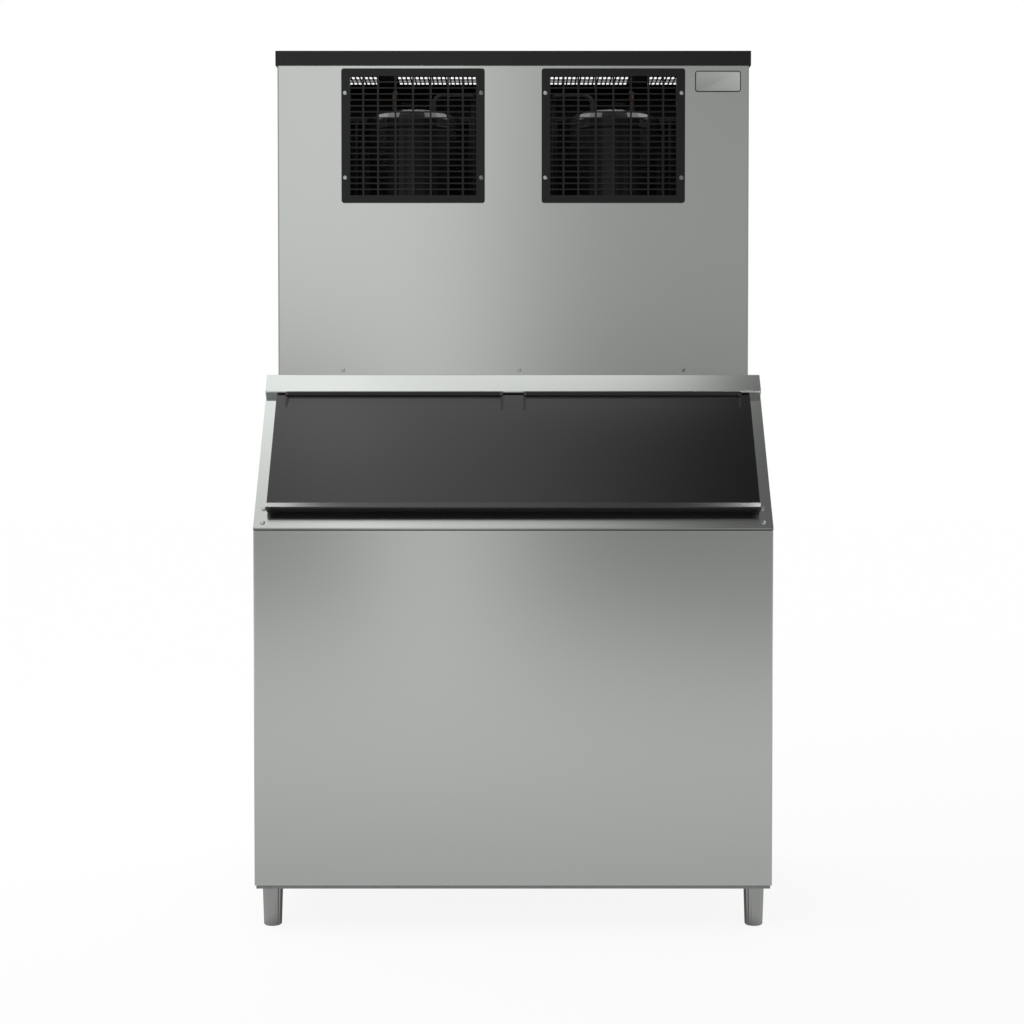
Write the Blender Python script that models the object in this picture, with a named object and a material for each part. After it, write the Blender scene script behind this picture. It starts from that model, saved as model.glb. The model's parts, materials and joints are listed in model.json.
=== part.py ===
"""Modular ice machine: an ice-making head standing on an insulated ice storage bin.

Metres, +Z up. X runs along the machine's width and the front faces -Y. The origin is on the floor, under
the middle of the bin. Run with: blender --background --python part.py
"""

import math

import bmesh
import bpy
from mathutils import Matrix, Vector

# Clearances and gauges
GAP = 0.0003
SHEET = 0.0012
WALL = 0.003
BEND = 0.004

# Storage bin
BIN_WIDTH = 1.220
BIN_DEPTH = 0.864
BIN_HEIGHT = 1.318
LEG_HEIGHT = 0.098
BASE_HEIGHT = 0.0065
BASE_INSET = 0.004
PANEL_RETURN = 0.025
FRONT_SEAM = 0.003
FOAM_RELIEF = 0.016
FOAM = 0.050
LINER = 0.003

# Sloping hood of the bin
HOOD_RISE = 0.3685
HOOD_DEPTH = 0.290
HOOD_TRIM = 0.032
HOOD_RAIL = 0.0236
HOOD_NOSE = 0.0035
HOOD_FLANGE = 0.022
BAND_PROUD = 0.0345
BAND_WIDTH = 0.055
BAND_INSET = 0.003
GROOVE_WIDTH = 0.050
GROOVE_DEPTH = 0.025
GROOVE_TAPER = 0.015
THROAT_LAND = 0.033

# Door on the hood
DOOR_OVERLAP = 0.002
DOOR_FACE = 0.025
DOOR_BACK = 0.007
DOOR_TAB_GAP = 0.0025
LIP_RISE = 0.0172
LIP_WIDTH = 0.0122
LIP_PROUD = 0.030
LIP_RAKE = 0.003
LIP_ROUND = 0.0012
LIP_OVERHANG = 0.0005
GASKET_WIDTH = 0.010
GASKET_HEIGHT = 0.0045
PAN_DEPTH = 0.035
PAN_CLEARANCE = 0.010
ROD_RADIUS = 0.0068
ROD_INNER = 0.0248
ROD_INSET = 0.0227
PIN_RADIUS = 0.003
EAR_LENGTH = 0.005

# Ice drop between head and bin
DROP_WIDTH = 0.960
DROP_DEPTH = 0.300
DROP_SETBACK = 0.100

# Levelling legs
LEG_TOP_RADIUS = 0.0245
LEG_FOOT_RADIUS = 0.0215
LEG_INSET_X = 0.0362
LEG_INSET_Y = 0.060
LEG_FLUTES = 20
LEG_FLUTE_DEPTH = 0.0009
STEM_RADIUS = 0.006
STEM_LENGTH = 0.030
SOCKET_RADIUS = 0.015

# Ice-making head
HEAD_WIDTH = 1.170
HEAD_DEPTH = 0.560
HEAD_HEIGHT = 0.803
HEAD_SETBACK = 0.003
HEAD_RETURN = 0.015
HEAD_BASE_RIM = 0.025
CAP_SHEET = 0.0015
CAP_SKIRT = 0.036
CAP_OVERHANG = 0.004
SLOT_WIDTH = 0.0075
SLOT_PITCH = 0.01163
SLOT_LENGTH = 0.058
SLOT_ROW_PITCH = 0.0735
SLOT_ROWS = 2
SLOT_SETBACK = 0.329
SLOT_FIELDS = ((0.0917, 19), (0.3658, 8))

# Front grilles
GRILLE_OFFSET = 0.2483
GRILLE_WIDTH = 0.3555
GRILLE_HEIGHT = 0.3315
GRILLE_DROP = 0.0435
GRILLE_THICKNESS = 0.003
GRILLE_CORNER = 0.006
GRILLE_COLLAR = 0.012
OPENING_WIDTH = 0.3125
OPENING_HEIGHT = 0.294
SLATS = 19
SLAT_HEIGHT = 0.0032
BAR_WIDTH = 0.0045
BAR_OFFSETS = (-0.1234, -0.087, -0.0436, 0.0, 0.0436, 0.087, 0.1234)

# Mechanical compartment
MECH_DECK_RISE = 0.4055
MACHINE_OFFSET = 0.255
DRUM_RADIUS = 0.1275
DRUM_HEIGHT = 0.252
DRUM_SETBACK = 0.190
DOME_HEIGHT = 0.026
CONDENSER_WIDTH = 0.380
CONDENSER_HEIGHT = 0.300
CONDENSER_DEPTH = 0.040
CONDENSER_SETBACK = 0.375
FINS = 16
SHROUD_DEPTH = 0.018
FAN_RADIUS = 0.098
FAN_HOLE_RADIUS = 0.104
FAN_BLADES = 5
FAN_DEPTH = 0.024
HUB_RADIUS = 0.030
SHAFT_RADIUS = 0.004
MOTOR_RADIUS = 0.042
MOTOR_LENGTH = 0.050
MOTOR_SETBACK = 0.009
PIPE_RADIUS = 0.006
STUB_RADIUS = 0.008
CONTROL_WIDTH = 0.160
CONTROL_HEIGHT = 0.200
CONTROL_DEPTH = 0.070

# Ice-making compartment
EVAPORATOR_WIDTH = 0.400
EVAPORATOR_HEIGHT = 0.250
EVAPORATOR_DEPTH = 0.028
EVAPORATOR_SETBACK = 0.225
EVAPORATOR_DROP = 0.045
CELL_COLUMNS = 7
CELL_ROWS = 4
CURTAIN_GAP = 0.022
CURTAIN_THICKNESS = 0.003
CURTAIN_BEAD = 0.005
TROUGH_WIDTH = 1.120
TROUGH_DEPTH = 0.110
TROUGH_HEIGHT = 0.060
TROUGH_WALL = 0.0025
SPRAY_RADIUS = 0.007
PUMP_RADIUS = 0.026
PUMP_HEIGHT = 0.115

# Fittings through the sheet metal
FITTING_RADIUS = 0.013
GLAND_RADIUS = 0.011
DRAIN_RADIUS = 0.013
DRAIN_BORE = 0.0095
FITTING_PROUD = 0.010

# Places worked out from the sizes above
FRONT = -BIN_DEPTH / 2
REAR = BIN_DEPTH / 2
SIDE = BIN_WIDTH / 2
BASE_TOP = LEG_HEIGHT + BASE_HEIGHT
PANEL_BOTTOM = BASE_TOP + 5 * GAP
HOOD_EDGE_HEIGHT = BIN_HEIGHT - HOOD_RISE
PANEL_TOP = HOOD_EDGE_HEIGHT - HOOD_NOSE - FRONT_SEAM
HOOD_ANGLE = math.atan2(HOOD_RISE, HOOD_DEPTH)
HOOD_LENGTH = math.hypot(HOOD_RISE, HOOD_DEPTH)
HOOD_COS = math.cos(HOOD_ANGLE)
HOOD_SIN = math.sin(HOOD_ANGLE)
HOOD_TOP_Y = FRONT + HOOD_DEPTH
OPENING_HALF = SIDE - HOOD_TRIM
BAND_TOP = (HOOD_RISE - BAND_PROUD * HOOD_COS) / HOOD_SIN
BAND_FOOT = BAND_TOP - BAND_WIDTH
HINGE_S = BAND_FOOT - ROD_RADIUS - GAP
HINGE_N = BAND_PROUD
DOOR_HALF = OPENING_HALF + DOOR_OVERLAP
ROD_OUTER = DOOR_HALF - ROD_INSET
LIP_LOW = HOOD_RAIL + LIP_RISE
LIP_HIGH = LIP_LOW + LIP_WIDTH
TAB_TOP = BAND_FOOT - DOOR_TAB_GAP
THROAT_HALF = OPENING_HALF - THROAT_LAND
THROAT_LOW = HOOD_RAIL + GROOVE_WIDTH + THROAT_LAND * 0.7
THROAT_HIGH = BAND_FOOT - THROAT_LAND * 0.9
SLAB = SHEET + GAP + FOAM
DROP_FRONT = HOOD_TOP_Y + DROP_SETBACK
DROP_REAR = DROP_FRONT + DROP_DEPTH
HEAD_FRONT = HOOD_TOP_Y + HEAD_SETBACK
HEAD_REAR = HEAD_FRONT + HEAD_DEPTH
HEAD_SIDE = HEAD_WIDTH / 2
HEAD_BASE = BIN_HEIGHT + GAP
CAP_TOP = BIN_HEIGHT + HEAD_HEIGHT
CAP_FRONT = HEAD_FRONT - CAP_OVERHANG
HEAD_PANEL_TOP = CAP_TOP - CAP_SHEET - GAP
HEAD_INNER = HEAD_SIDE - SHEET - GAP
HEAD_BACK_INNER = HEAD_REAR - 2 * SHEET - 2 * GAP
GRILLE_Z = CAP_TOP - GRILLE_DROP - GRILLE_HEIGHT / 2
MECH_DECK = BIN_HEIGHT + MECH_DECK_RISE
MECH_FLOOR = MECH_DECK + GAP
DRUM_Y = HEAD_FRONT + DRUM_SETBACK
CONDENSER_Y = HEAD_FRONT + CONDENSER_SETBACK
SHROUD_Y = CONDENSER_Y + CONDENSER_DEPTH + GAP
FAN_Z = MECH_FLOOR + CONDENSER_HEIGHT / 2
FAN_Y = SHROUD_Y + SHROUD_DEPTH - FAN_DEPTH / 2
EVAPORATOR_Y = HEAD_FRONT + EVAPORATOR_SETBACK
EVAPORATOR_TOP = MECH_DECK - SHEET - EVAPORATOR_DROP
CURTAIN_Y = EVAPORATOR_Y - CURTAIN_GAP
CURTAIN_Z = EVAPORATOR_TOP - CURTAIN_BEAD
OUTLET_SETBACK = EVAPORATOR_DEPTH - STUB_RADIUS - GAP
TROUGH_Y = EVAPORATOR_Y + TROUGH_DEPTH / 4
TROUGH_Z = HEAD_BASE + SHEET + GAP


def clear_scene():
    """Removes every object, so that the script starts from an empty scene."""
    for obj in list(bpy.data.objects):
        bpy.data.objects.remove(obj, do_unlink=True)


def material(name, colour, roughness, metallic=0.0):
    """Makes a Principled material with one linear colour."""
    made = bpy.data.materials.new(name)
    made.use_nodes = True
    shader = made.node_tree.nodes["Principled BSDF"]
    shader.inputs["Base Color"].default_value = (*colour, 1.0)
    shader.inputs["Roughness"].default_value = roughness
    shader.inputs["Metallic"].default_value = metallic
    return made


def slope(s, n=0.0):
    """World (y, z) of the point s up the hood from its front edge and n above its face."""
    y = FRONT + s * HOOD_COS - n * HOOD_SIN
    z = HOOD_EDGE_HEIGHT + s * HOOD_SIN + n * HOOD_COS
    return y, z


def slope_y(z, n):
    """World y where a plane n above the hood's face reaches height z."""
    s = (z - HOOD_EDGE_HEIGHT - n * HOOD_COS) / HOOD_SIN
    return slope(s, n)[0]


def slope_z(y, n):
    """World z where a plane n above the hood's face reaches depth y."""
    s = (y - FRONT + n * HOOD_SIN) / HOOD_COS
    return slope(s, n)[1]


def box(bm, xs, ys, zs):
    """Adds a box between the given ends along each axis."""
    size = Vector((xs[1] - xs[0], ys[1] - ys[0], zs[1] - zs[0]))
    centre = Vector((sum(xs) / 2, sum(ys) / 2, sum(zs) / 2))
    place = Matrix.Translation(centre) @ Matrix.Diagonal((*size, 1.0))
    return bmesh.ops.create_cube(bm, size=1.0, matrix=place)["verts"]


def prism(bm, outline, axis, ends):
    """Extrudes a closed outline along X, Y or Z; the outline gives the other two coordinates in order."""
    place = {"X": lambda a, b, t: (t, a, b), "Y": lambda a, b, t: (a, t, b), "Z": lambda a, b, t: (a, b, t)}[axis]
    verts = [bm.verts.new(place(a, b, ends[0])) for a, b in outline]
    face = bm.faces.new(verts)
    grown = bmesh.ops.extrude_face_region(bm, geom=[face])["geom"]
    step = Vector(place(0.0, 0.0, ends[1] - ends[0]))
    moved = [item for item in grown if isinstance(item, bmesh.types.BMVert)]
    bmesh.ops.translate(bm, vec=step, verts=moved)
    return verts + moved


def rod(bm, centre, radius, ends, axis="Z", segments=16, far_radius=None):
    """Adds a cylinder or cone along an axis, between two ends, through the centre's other two coordinates."""
    turn = {"X": Matrix.Rotation(math.pi / 2, 4, "Y"), "Y": Matrix.Rotation(-math.pi / 2, 4, "X"), "Z": Matrix()}
    middle = sum(ends) / 2
    a, b = centre
    where = {"X": (middle, a, b), "Y": (a, middle, b), "Z": (a, b, middle)}[axis]
    far = radius if far_radius is None else far_radius
    return bmesh.ops.create_cone(
        bm,
        cap_ends=True,
        segments=segments,
        radius1=radius,
        radius2=far,
        depth=ends[1] - ends[0],
        matrix=Matrix.Translation(where) @ turn[axis],
    )["verts"]


def turned(bm, profile, segments=20):
    """Revolves a profile of (radius, z) points about Z, from axis to axis or as a closed loop."""
    closed = profile[0] == profile[-1]
    rings = []
    for radius, z in profile[:-1] if closed else profile:
        if radius < GAP:
            rings.append([bm.verts.new((0.0, 0.0, z))] * segments)
            continue
        angles = [2 * math.pi * i / segments for i in range(segments)]
        rings.append([bm.verts.new((radius * math.cos(a), radius * math.sin(a), z)) for a in angles])
    if closed:
        rings.append(rings[0])
    for lower, upper in zip(rings, rings[1:]):
        for i in range(segments):
            j = (i + 1) % segments
            corners = dict.fromkeys((lower[i], lower[j], upper[j], upper[i]))
            bm.faces.new(list(corners))


def ring(bm, outer, inner, zs):
    """Adds a rectangular frame; outer and inner are ((x0, x1), (y0, y1))."""
    xs = (outer[0][0], inner[0][0], inner[0][1], outer[0][1])
    ys = (outer[1][0], inner[1][0], inner[1][1], outer[1][1])
    grid = [[bm.verts.new((x, y, zs[0])) for x in xs] for y in ys]
    faces = []
    for row in range(3):
        for column in range(3):
            if (row, column) == (1, 1):
                continue
            corners = (grid[row][column], grid[row][column + 1], grid[row + 1][column + 1], grid[row + 1][column])
            faces.append(bm.faces.new(corners))
    grown = bmesh.ops.extrude_face_region(bm, geom=faces)["geom"]
    moved = [item for item in grown if isinstance(item, bmesh.types.BMVert)]
    bmesh.ops.translate(bm, vec=(0, 0, zs[1] - zs[0]), verts=moved)


def rounded(points, radius, closed=False, steps=3, corners=None):
    """Replaces the corners of a path by arcs; corners names those to round, or all that turn."""
    made = []
    count = len(points)
    for i, point in enumerate(points):
        here = Vector(point)
        end = not closed and i in (0, count - 1)
        if end or (corners is not None and i not in corners):
            made.append(tuple(here))
            continue
        back = (Vector(points[i - 1]) - here).normalized()
        ahead = (Vector(points[(i + 1) % count]) - here).normalized()
        half = back.angle(ahead) / 2
        reach = radius / math.tan(half)
        centre = here + (back + ahead).normalized() * (radius / math.sin(half))
        first = here + back * reach - centre
        last = here + ahead * reach - centre
        for step in range(steps + 1):
            mixed = first.lerp(last, step / steps)
            turn = math.sin(math.pi * step / (2 * steps))
            blend = turn * turn if steps == 1 else step / steps
            arm = first.lerp(last, blend) if mixed.length < 1e-9 else mixed
            made.append(tuple(centre + arm.normalized() * radius))
    return made


def offset(points, distance, closed):
    """Moves a path sideways, to its left, with mitred corners."""
    made = []
    count = len(points)
    for i, point in enumerate(points):
        here = Vector(point)
        normals = []
        if closed or i > 0:
            back = (here - Vector(points[i - 1])).normalized()
            normals.append(Vector((-back.y, back.x)))
        if closed or i < count - 1:
            ahead = (Vector(points[(i + 1) % count]) - here).normalized()
            normals.append(Vector((-ahead.y, ahead.x)))
        mean = sum(normals, Vector((0.0, 0.0))).normalized()
        made.append(tuple(here + mean * (distance / mean.dot(normals[0]))))
    return made


def folded(points, thickness, radius=BEND):
    """Outline of a sheet folded along a path, its thickness on the path's left."""
    path = rounded(points, radius)
    return path + offset(path, thickness, closed=False)[::-1]


def add_object(bm, name, finish, place=None, parent=None):
    """Turns a bmesh into a shaded object with its material."""
    bmesh.ops.recalc_face_normals(bm, faces=bm.faces)
    mesh = bpy.data.meshes.new(name)
    bm.to_mesh(mesh)
    bm.free()
    mesh.shade_smooth()
    mesh.set_sharp_from_angle(angle=math.radians(35))
    mesh.materials.append(finish)
    obj = bpy.data.objects.new(name, mesh)
    bpy.context.scene.collection.objects.link(obj)
    if parent:
        obj.parent = parent
    if place:
        obj.matrix_basis = place
    return obj


def apply_boolean(obj, bm, operation, label):
    """Adds a Boolean with a hidden helper that shares the object's frame."""
    bmesh.ops.recalc_face_normals(bm, faces=bm.faces)
    name = f"{obj.name}.{label}"
    mesh = bpy.data.meshes.new(name)
    bm.to_mesh(mesh)
    bm.free()
    helper = bpy.data.objects.new(name, mesh)
    bpy.context.scene.collection.objects.link(helper)
    helper.parent = obj.parent
    helper.matrix_basis = obj.matrix_basis.copy()
    helper.hide_render = True
    helper.display_type = "WIRE"
    modifier = obj.modifiers.new(label, "BOOLEAN")
    modifier.operation = operation
    modifier.solver = "EXACT"
    modifier.use_self = operation == "UNION"
    modifier.object = helper


def cut(obj, bm, label="cut"):
    """Takes the shape in bm away from the object."""
    apply_boolean(obj, bm, "DIFFERENCE", label)


def weld(obj, bm, label="joined"):
    """Joins the shape in bm to the object."""
    apply_boolean(obj, bm, "UNION", label)


def hood_place():
    """Frame of the hood's face: X across, Y up the slope, Z out of it."""
    return Matrix.Translation((0, FRONT, HOOD_EDGE_HEIGHT)) @ Matrix.Rotation(HOOD_ANGLE, 4, "X")


def foam_outline():
    """Side view (y, z) of the space inside the bin's panels."""
    front = FRONT + 2 * SHEET + 3 * GAP
    rear = REAR - SHEET - GAP
    low = BASE_TOP + GAP
    top = BIN_HEIGHT - SHEET - GAP
    face = -(SHEET + GAP)
    return [(front, low), (rear, low), (rear, top), (slope_y(top, face), top), (front, slope_z(front, face))]


def leg_centres():
    """Names and (x, y) of the four legs."""
    x = SIDE - LEG_INSET_X
    y = -FRONT - LEG_INSET_Y
    return {
        "leg_front_left": (-x, -y),
        "leg_front_right": (x, -y),
        "leg_rear_left": (-x, y),
        "leg_rear_right": (x, y),
    }


def drain_place():
    """(x, y) of the bin's drain, near the rear of its floor."""
    return SIDE * 0.5, REAR - FOAM - 0.06


def drop_opening(margin=0.0):
    """((x0, x1), (y0, y1)) of the ice drop, grown by a margin."""
    half = DROP_WIDTH / 2 + margin
    return (-half, half), (DROP_FRONT - margin, DROP_REAR + margin)


def make_base_frame(finish):
    """Folded base pan with four blind sockets for the legs."""
    bm = bmesh.new()
    xs = (-SIDE + BASE_INSET, SIDE - BASE_INSET)
    ys = (FRONT + BASE_INSET, REAR - BASE_INSET)
    box(bm, xs, ys, (LEG_HEIGHT, BASE_TOP))
    pan = add_object(bm, "bin_base_frame", finish)
    plate = 2 * SHEET
    bm = bmesh.new()
    box(bm, (xs[0] + plate, xs[1] - plate), (ys[0] + plate, ys[1] - plate), (LEG_HEIGHT - WALL, BASE_TOP - plate))
    cut(pan, bm, "underside")
    sockets = bmesh.new()
    bores = bmesh.new()
    for centre in leg_centres().values():
        rod(sockets, centre, SOCKET_RADIUS, (LEG_HEIGHT, LEG_HEIGHT + STEM_LENGTH + 2 * WALL), segments=12)
        rod(bores, centre, STEM_RADIUS + GAP, (LEG_HEIGHT - WALL, LEG_HEIGHT + STEM_LENGTH + WALL), segments=12)
    weld(pan, sockets, "sockets")
    rod(bores, drain_place(), DRAIN_RADIUS + GAP, (LEG_HEIGHT - WALL, BASE_TOP + WALL))
    cut(pan, bores, "bores")


def make_leg(name, centre, finish):
    """Fluted tapering leg with its stem, its origin at the shoulder under the base."""
    bm = bmesh.new()
    count = 2 * LEG_FLUTES
    length = LEG_HEIGHT - GAP
    edge = 0.003
    levels = ((0.0, LEG_TOP_RADIUS), (edge - length, LEG_FOOT_RADIUS), (-length, LEG_FOOT_RADIUS - edge))
    rings = []
    for z, radius in levels:
        row = []
        for i in range(count):
            angle = 2 * math.pi * i / count
            depth = LEG_FLUTE_DEPTH * (i % 2)
            row.append(bm.verts.new(((radius - depth) * math.cos(angle), (radius - depth) * math.sin(angle), z)))
        rings.append(row)
    for upper, lower in zip(rings, rings[1:]):
        for i in range(count):
            j = (i + 1) % count
            bm.faces.new((upper[i], lower[i], lower[j], upper[j]))
    bm.faces.new(rings[0])
    bm.faces.new(rings[-1][::-1])
    leg = add_object(bm, name, finish, Matrix.Translation((*centre, LEG_HEIGHT - GAP)))
    stem = bmesh.new()
    rod(stem, (0, 0), STEM_RADIUS, (-WALL, STEM_LENGTH), segments=12)
    weld(leg, stem, "stem")


def make_bin_panels(finish):
    """Front, side and rear panels and the top deck with its ice duct."""
    bm = bmesh.new()
    path = [(-SIDE, FRONT + PANEL_RETURN), (-SIDE, FRONT), (SIDE, FRONT), (SIDE, FRONT + PANEL_RETURN)]
    prism(bm, folded(path, SHEET), "Z", (PANEL_BOTTOM, PANEL_TOP))
    add_object(bm, "bin_front_panel", finish)
    face = -(SHEET + GAP)
    nose = PANEL_TOP + 2 * GAP
    start = FRONT + PANEL_RETURN + 2 * GAP
    outline = [
        (start, PANEL_BOTTOM),
        (REAR, PANEL_BOTTOM),
        (REAR, BIN_HEIGHT),
        (slope_y(BIN_HEIGHT, face), BIN_HEIGHT),
        (FRONT, slope_z(FRONT, face)),
        (FRONT, nose),
        (start, nose),
    ]
    for name, sign in (("bin_side_left", -1), ("bin_side_right", 1)):
        bm = bmesh.new()
        prism(bm, outline, "X", tuple(sorted((sign * (SIDE - SHEET), sign * SIDE))))
        add_object(bm, name, finish)
    inner = SIDE - SHEET - GAP
    bm = bmesh.new()
    box(bm, (-inner, inner), (REAR - SHEET, REAR), (PANEL_BOTTOM, BIN_HEIGHT - SHEET - GAP))
    add_object(bm, "bin_rear_panel", finish)
    xs, ys = drop_opening()
    bm = bmesh.new()
    ring(bm, ((-inner, inner), (HOOD_TOP_Y + GAP, REAR)), (xs, ys), (BIN_HEIGHT - SHEET, BIN_HEIGHT))
    deck = add_object(bm, "bin_top_deck", finish)
    bm = bmesh.new()
    outer_xs, outer_ys = drop_opening(SHEET)
    ring(bm, (outer_xs, outer_ys), (xs, ys), (BIN_HEIGHT - SLAB, BIN_HEIGHT - SHEET / 2))
    weld(deck, bm, "duct")


def make_insulation(finish):
    """Foam between the panels and the liner, one body with the cavity, door and ice drop left open."""
    outline = foam_outline()
    half = SIDE - SHEET - GAP
    bm = bmesh.new()
    prism(bm, outline, "X", (-half, half))
    foam = add_object(bm, "bin_insulation", finish)
    bm = bmesh.new()
    prism(bm, offset(outline, FOAM, closed=True), "X", (-half + FOAM, half - FOAM))
    cut(foam, bm, "cavity")
    bm = bmesh.new()
    door = OPENING_HALF + GAP
    box(bm, (-door, door), (HOOD_RAIL, BAND_FOOT), (-SLAB - LINER, SLAB))
    bmesh.ops.transform(bm, matrix=hood_place(), verts=bm.verts)
    cut(foam, bm, "doorway")
    bm = bmesh.new()
    xs, ys = drop_opening(SHEET + GAP)
    box(bm, xs, ys, (BIN_HEIGHT - 2 * SLAB, BIN_HEIGHT + SLAB))
    cut(foam, bm, "ice_drop")
    bm = bmesh.new()
    for centre in leg_centres().values():
        rod(bm, centre, SOCKET_RADIUS + 2 * GAP, (BASE_TOP - WALL, LEG_HEIGHT + STEM_LENGTH + 2 * WALL + GAP))
    rod(bm, drain_place(), DRAIN_RADIUS + 2 * GAP, (BASE_TOP - WALL, BASE_TOP + 2 * FOAM))
    cut(foam, bm, "sockets")
    bm = bmesh.new()
    side = SIDE - FOAM_RELIEF
    around = ((-SIDE, SIDE), (FRONT, REAR))
    within = ((-side, side), (FRONT + FOAM_RELIEF, REAR - FOAM_RELIEF))
    ring(bm, around, within, (BASE_TOP - WALL, BASE_TOP + FOAM_RELIEF))
    cut(foam, bm, "bottom_seam")
    bm = bmesh.new()
    seam = (PANEL_TOP - FOAM_RELIEF, HOOD_EDGE_HEIGHT + FOAM_RELIEF)
    box(bm, (-SIDE, SIDE), (FRONT, FRONT + FOAM_RELIEF), seam)
    cut(foam, bm, "front_seam")


def make_liner(finish):
    """Moulded tank that holds the ice, open to the door and to the ice drop."""
    outline = foam_outline()
    half = SIDE - SHEET - GAP - FOAM - GAP
    bm = bmesh.new()
    prism(bm, offset(outline, FOAM + GAP, closed=True), "X", (-half, half))
    liner = add_object(bm, "bin_liner", finish)
    bm = bmesh.new()
    inner = half - LINER
    prism(bm, offset(outline, FOAM + GAP + LINER, closed=True), "X", (-inner, inner))
    cut(liner, bm, "inside")
    bm = bmesh.new()
    box(bm, (-THROAT_HALF, THROAT_HALF), (THROAT_LOW, THROAT_HIGH), (-SLAB - 4 * LINER, SLAB))
    bmesh.ops.transform(bm, matrix=hood_place(), verts=bm.verts)
    cut(liner, bm, "doorway")
    bm = bmesh.new()
    xs, ys = drop_opening()
    box(bm, xs, ys, (BIN_HEIGHT - SLAB - 4 * LINER, BIN_HEIGHT))
    cut(liner, bm, "ice_drop")
    bm = bmesh.new()
    rod(bm, drain_place(), DRAIN_RADIUS + 2 * GAP, (BASE_TOP + FOAM - 4 * LINER, BASE_TOP + FOAM + 4 * LINER))
    cut(liner, bm, "drain")


def make_drain(finish):
    """Flanged drain spigot from the liner's floor down through the base."""
    bm = bmesh.new()
    floor = BASE_TOP + GAP + FOAM + GAP + LINER + GAP
    foot = LEG_HEIGHT - 4 * WALL
    flange = 1.7 * DRAIN_RADIUS
    profile = [
        (DRAIN_BORE, foot),
        (DRAIN_RADIUS, foot),
        (DRAIN_RADIUS, floor),
        (flange, floor),
        (flange, floor + WALL),
        (DRAIN_BORE, floor + WALL),
        (DRAIN_BORE, foot),
    ]
    turned(bm, profile, segments=16)
    add_object(bm, "bin_drain", finish, Matrix.Translation((*drain_place(), 0)))


def make_hood_frame(finish):
    """Side trims and bottom rail of the hood, its folded nose, and a flange behind the front panel."""
    bm = bmesh.new()
    top = HOOD_LENGTH - BEND
    outline = [
        (-SIDE, 0),
        (SIDE, 0),
        (SIDE, top),
        (OPENING_HALF, top),
        (OPENING_HALF, HOOD_RAIL),
        (-OPENING_HALF, HOOD_RAIL),
        (-OPENING_HALF, top),
        (-SIDE, top),
    ]
    prism(bm, rounded(outline, BEND, closed=True, corners=(4, 5)), "Z", (-SHEET, 0))
    bmesh.ops.transform(bm, matrix=hood_place(), verts=bm.verts)
    frame = add_object(bm, "hood_frame", finish)
    bm = bmesh.new()
    inner = SIDE - BEND - SHEET
    front = FRONT + SHEET + GAP
    middle = -SHEET / 2
    back = front + SHEET
    low = HOOD_EDGE_HEIGHT - HOOD_FLANGE
    nose_low = HOOD_EDGE_HEIGHT - HOOD_NOSE
    prism(bm, [(front, low), (back, low), (back, nose_low + SHEET), (front, nose_low + SHEET)], "X", (-inner, inner))
    weld(frame, bm, "flange")
    bm = bmesh.new()
    half = SIDE - SHEET - GAP
    nose = [(FRONT, nose_low), (back, nose_low), (back, slope_z(back, middle)), (FRONT, slope_z(FRONT, middle))]
    prism(bm, nose, "X", (-half, half))
    weld(frame, bm, "nose")


def make_top_rail(finish):
    """Raised steel rail across the top of the hood, open underneath."""
    foot = slope(BAND_FOOT, GAP)
    corner = slope(BAND_FOOT, BAND_PROUD)
    crest = (slope_y(BIN_HEIGHT, BAND_PROUD), BIN_HEIGHT)
    back = (slope_y(BIN_HEIGHT, GAP), BIN_HEIGHT)
    bm = bmesh.new()
    outline = rounded([foot, corner, crest, back], 0.75 * BEND, closed=True, corners=(1, 2))
    half = SIDE - BAND_INSET
    prism(bm, outline, "X", (-half, half))
    rail = add_object(bm, "hood_top_rail", finish)
    bm = bmesh.new()
    under = -2 * SHEET
    ceiling = BIN_HEIGHT - SHEET
    hollow = [
        slope(BAND_FOOT + SHEET, under),
        slope(BAND_FOOT + SHEET, BAND_PROUD - SHEET),
        (slope_y(ceiling, BAND_PROUD - SHEET), ceiling),
        (slope_y(ceiling, under), ceiling),
    ]
    prism(bm, hollow, "X", (SHEET - half, half - SHEET))
    cut(rail, bm, "hollow")


def make_throat(finish):
    """Moulded frame of the doorway, with the finger groove below the door's lip."""
    outer_half = OPENING_HALF - GAP
    low = HOOD_RAIL + GAP
    high = BAND_FOOT - GAP
    depth = -SLAB
    bm = bmesh.new()
    corners = [(-outer_half, low), (outer_half, low), (outer_half, high), (-outer_half, high)]
    prism(bm, rounded(corners, BEND - GAP, closed=True, corners=(0, 1)), "Z", (depth, 0))
    throat = add_object(bm, "door_throat", finish, hood_place())
    bm = bmesh.new()
    box(bm, (-THROAT_HALF, THROAT_HALF), (THROAT_LOW, THROAT_HIGH), (depth - WALL, WALL))
    cut(throat, bm, "doorway")
    groove_half = outer_half - WALL
    bm = bmesh.new()
    verts = box(bm, (-groove_half, groove_half), (low + WALL, HOOD_RAIL + GROOVE_WIDTH), (-GROOVE_DEPTH, WALL))
    deep = [v for v in verts if v.co.z < 0]
    bmesh.ops.scale(bm, vec=(1 - GROOVE_TAPER / groove_half, 1, 1), verts=deep)
    floor = [edge for edge in bm.edges if all(v in verts and v.co.z < 0 for v in edge.verts)]
    bmesh.ops.bevel(bm, geom=floor, offset=2 * WALL, segments=2, profile=0.5, affect="EDGES", material=-1)
    cut(throat, bm, "finger_groove")
    bm = bmesh.new()
    ring(
        bm,
        ((-groove_half, groove_half), (low + WALL, high - WALL)),
        ((-THROAT_HALF - WALL, THROAT_HALF + WALL), (THROAT_LOW - WALL, THROAT_HIGH + WALL)),
        (depth - WALL, -GROOVE_DEPTH - WALL),
    )
    cut(throat, bm, "underside")


def door_point(s, n):
    """Place (u, w) in the door's frame, whose origin is on the hinge axis."""
    return s - HINGE_S, n - HINGE_N


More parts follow.
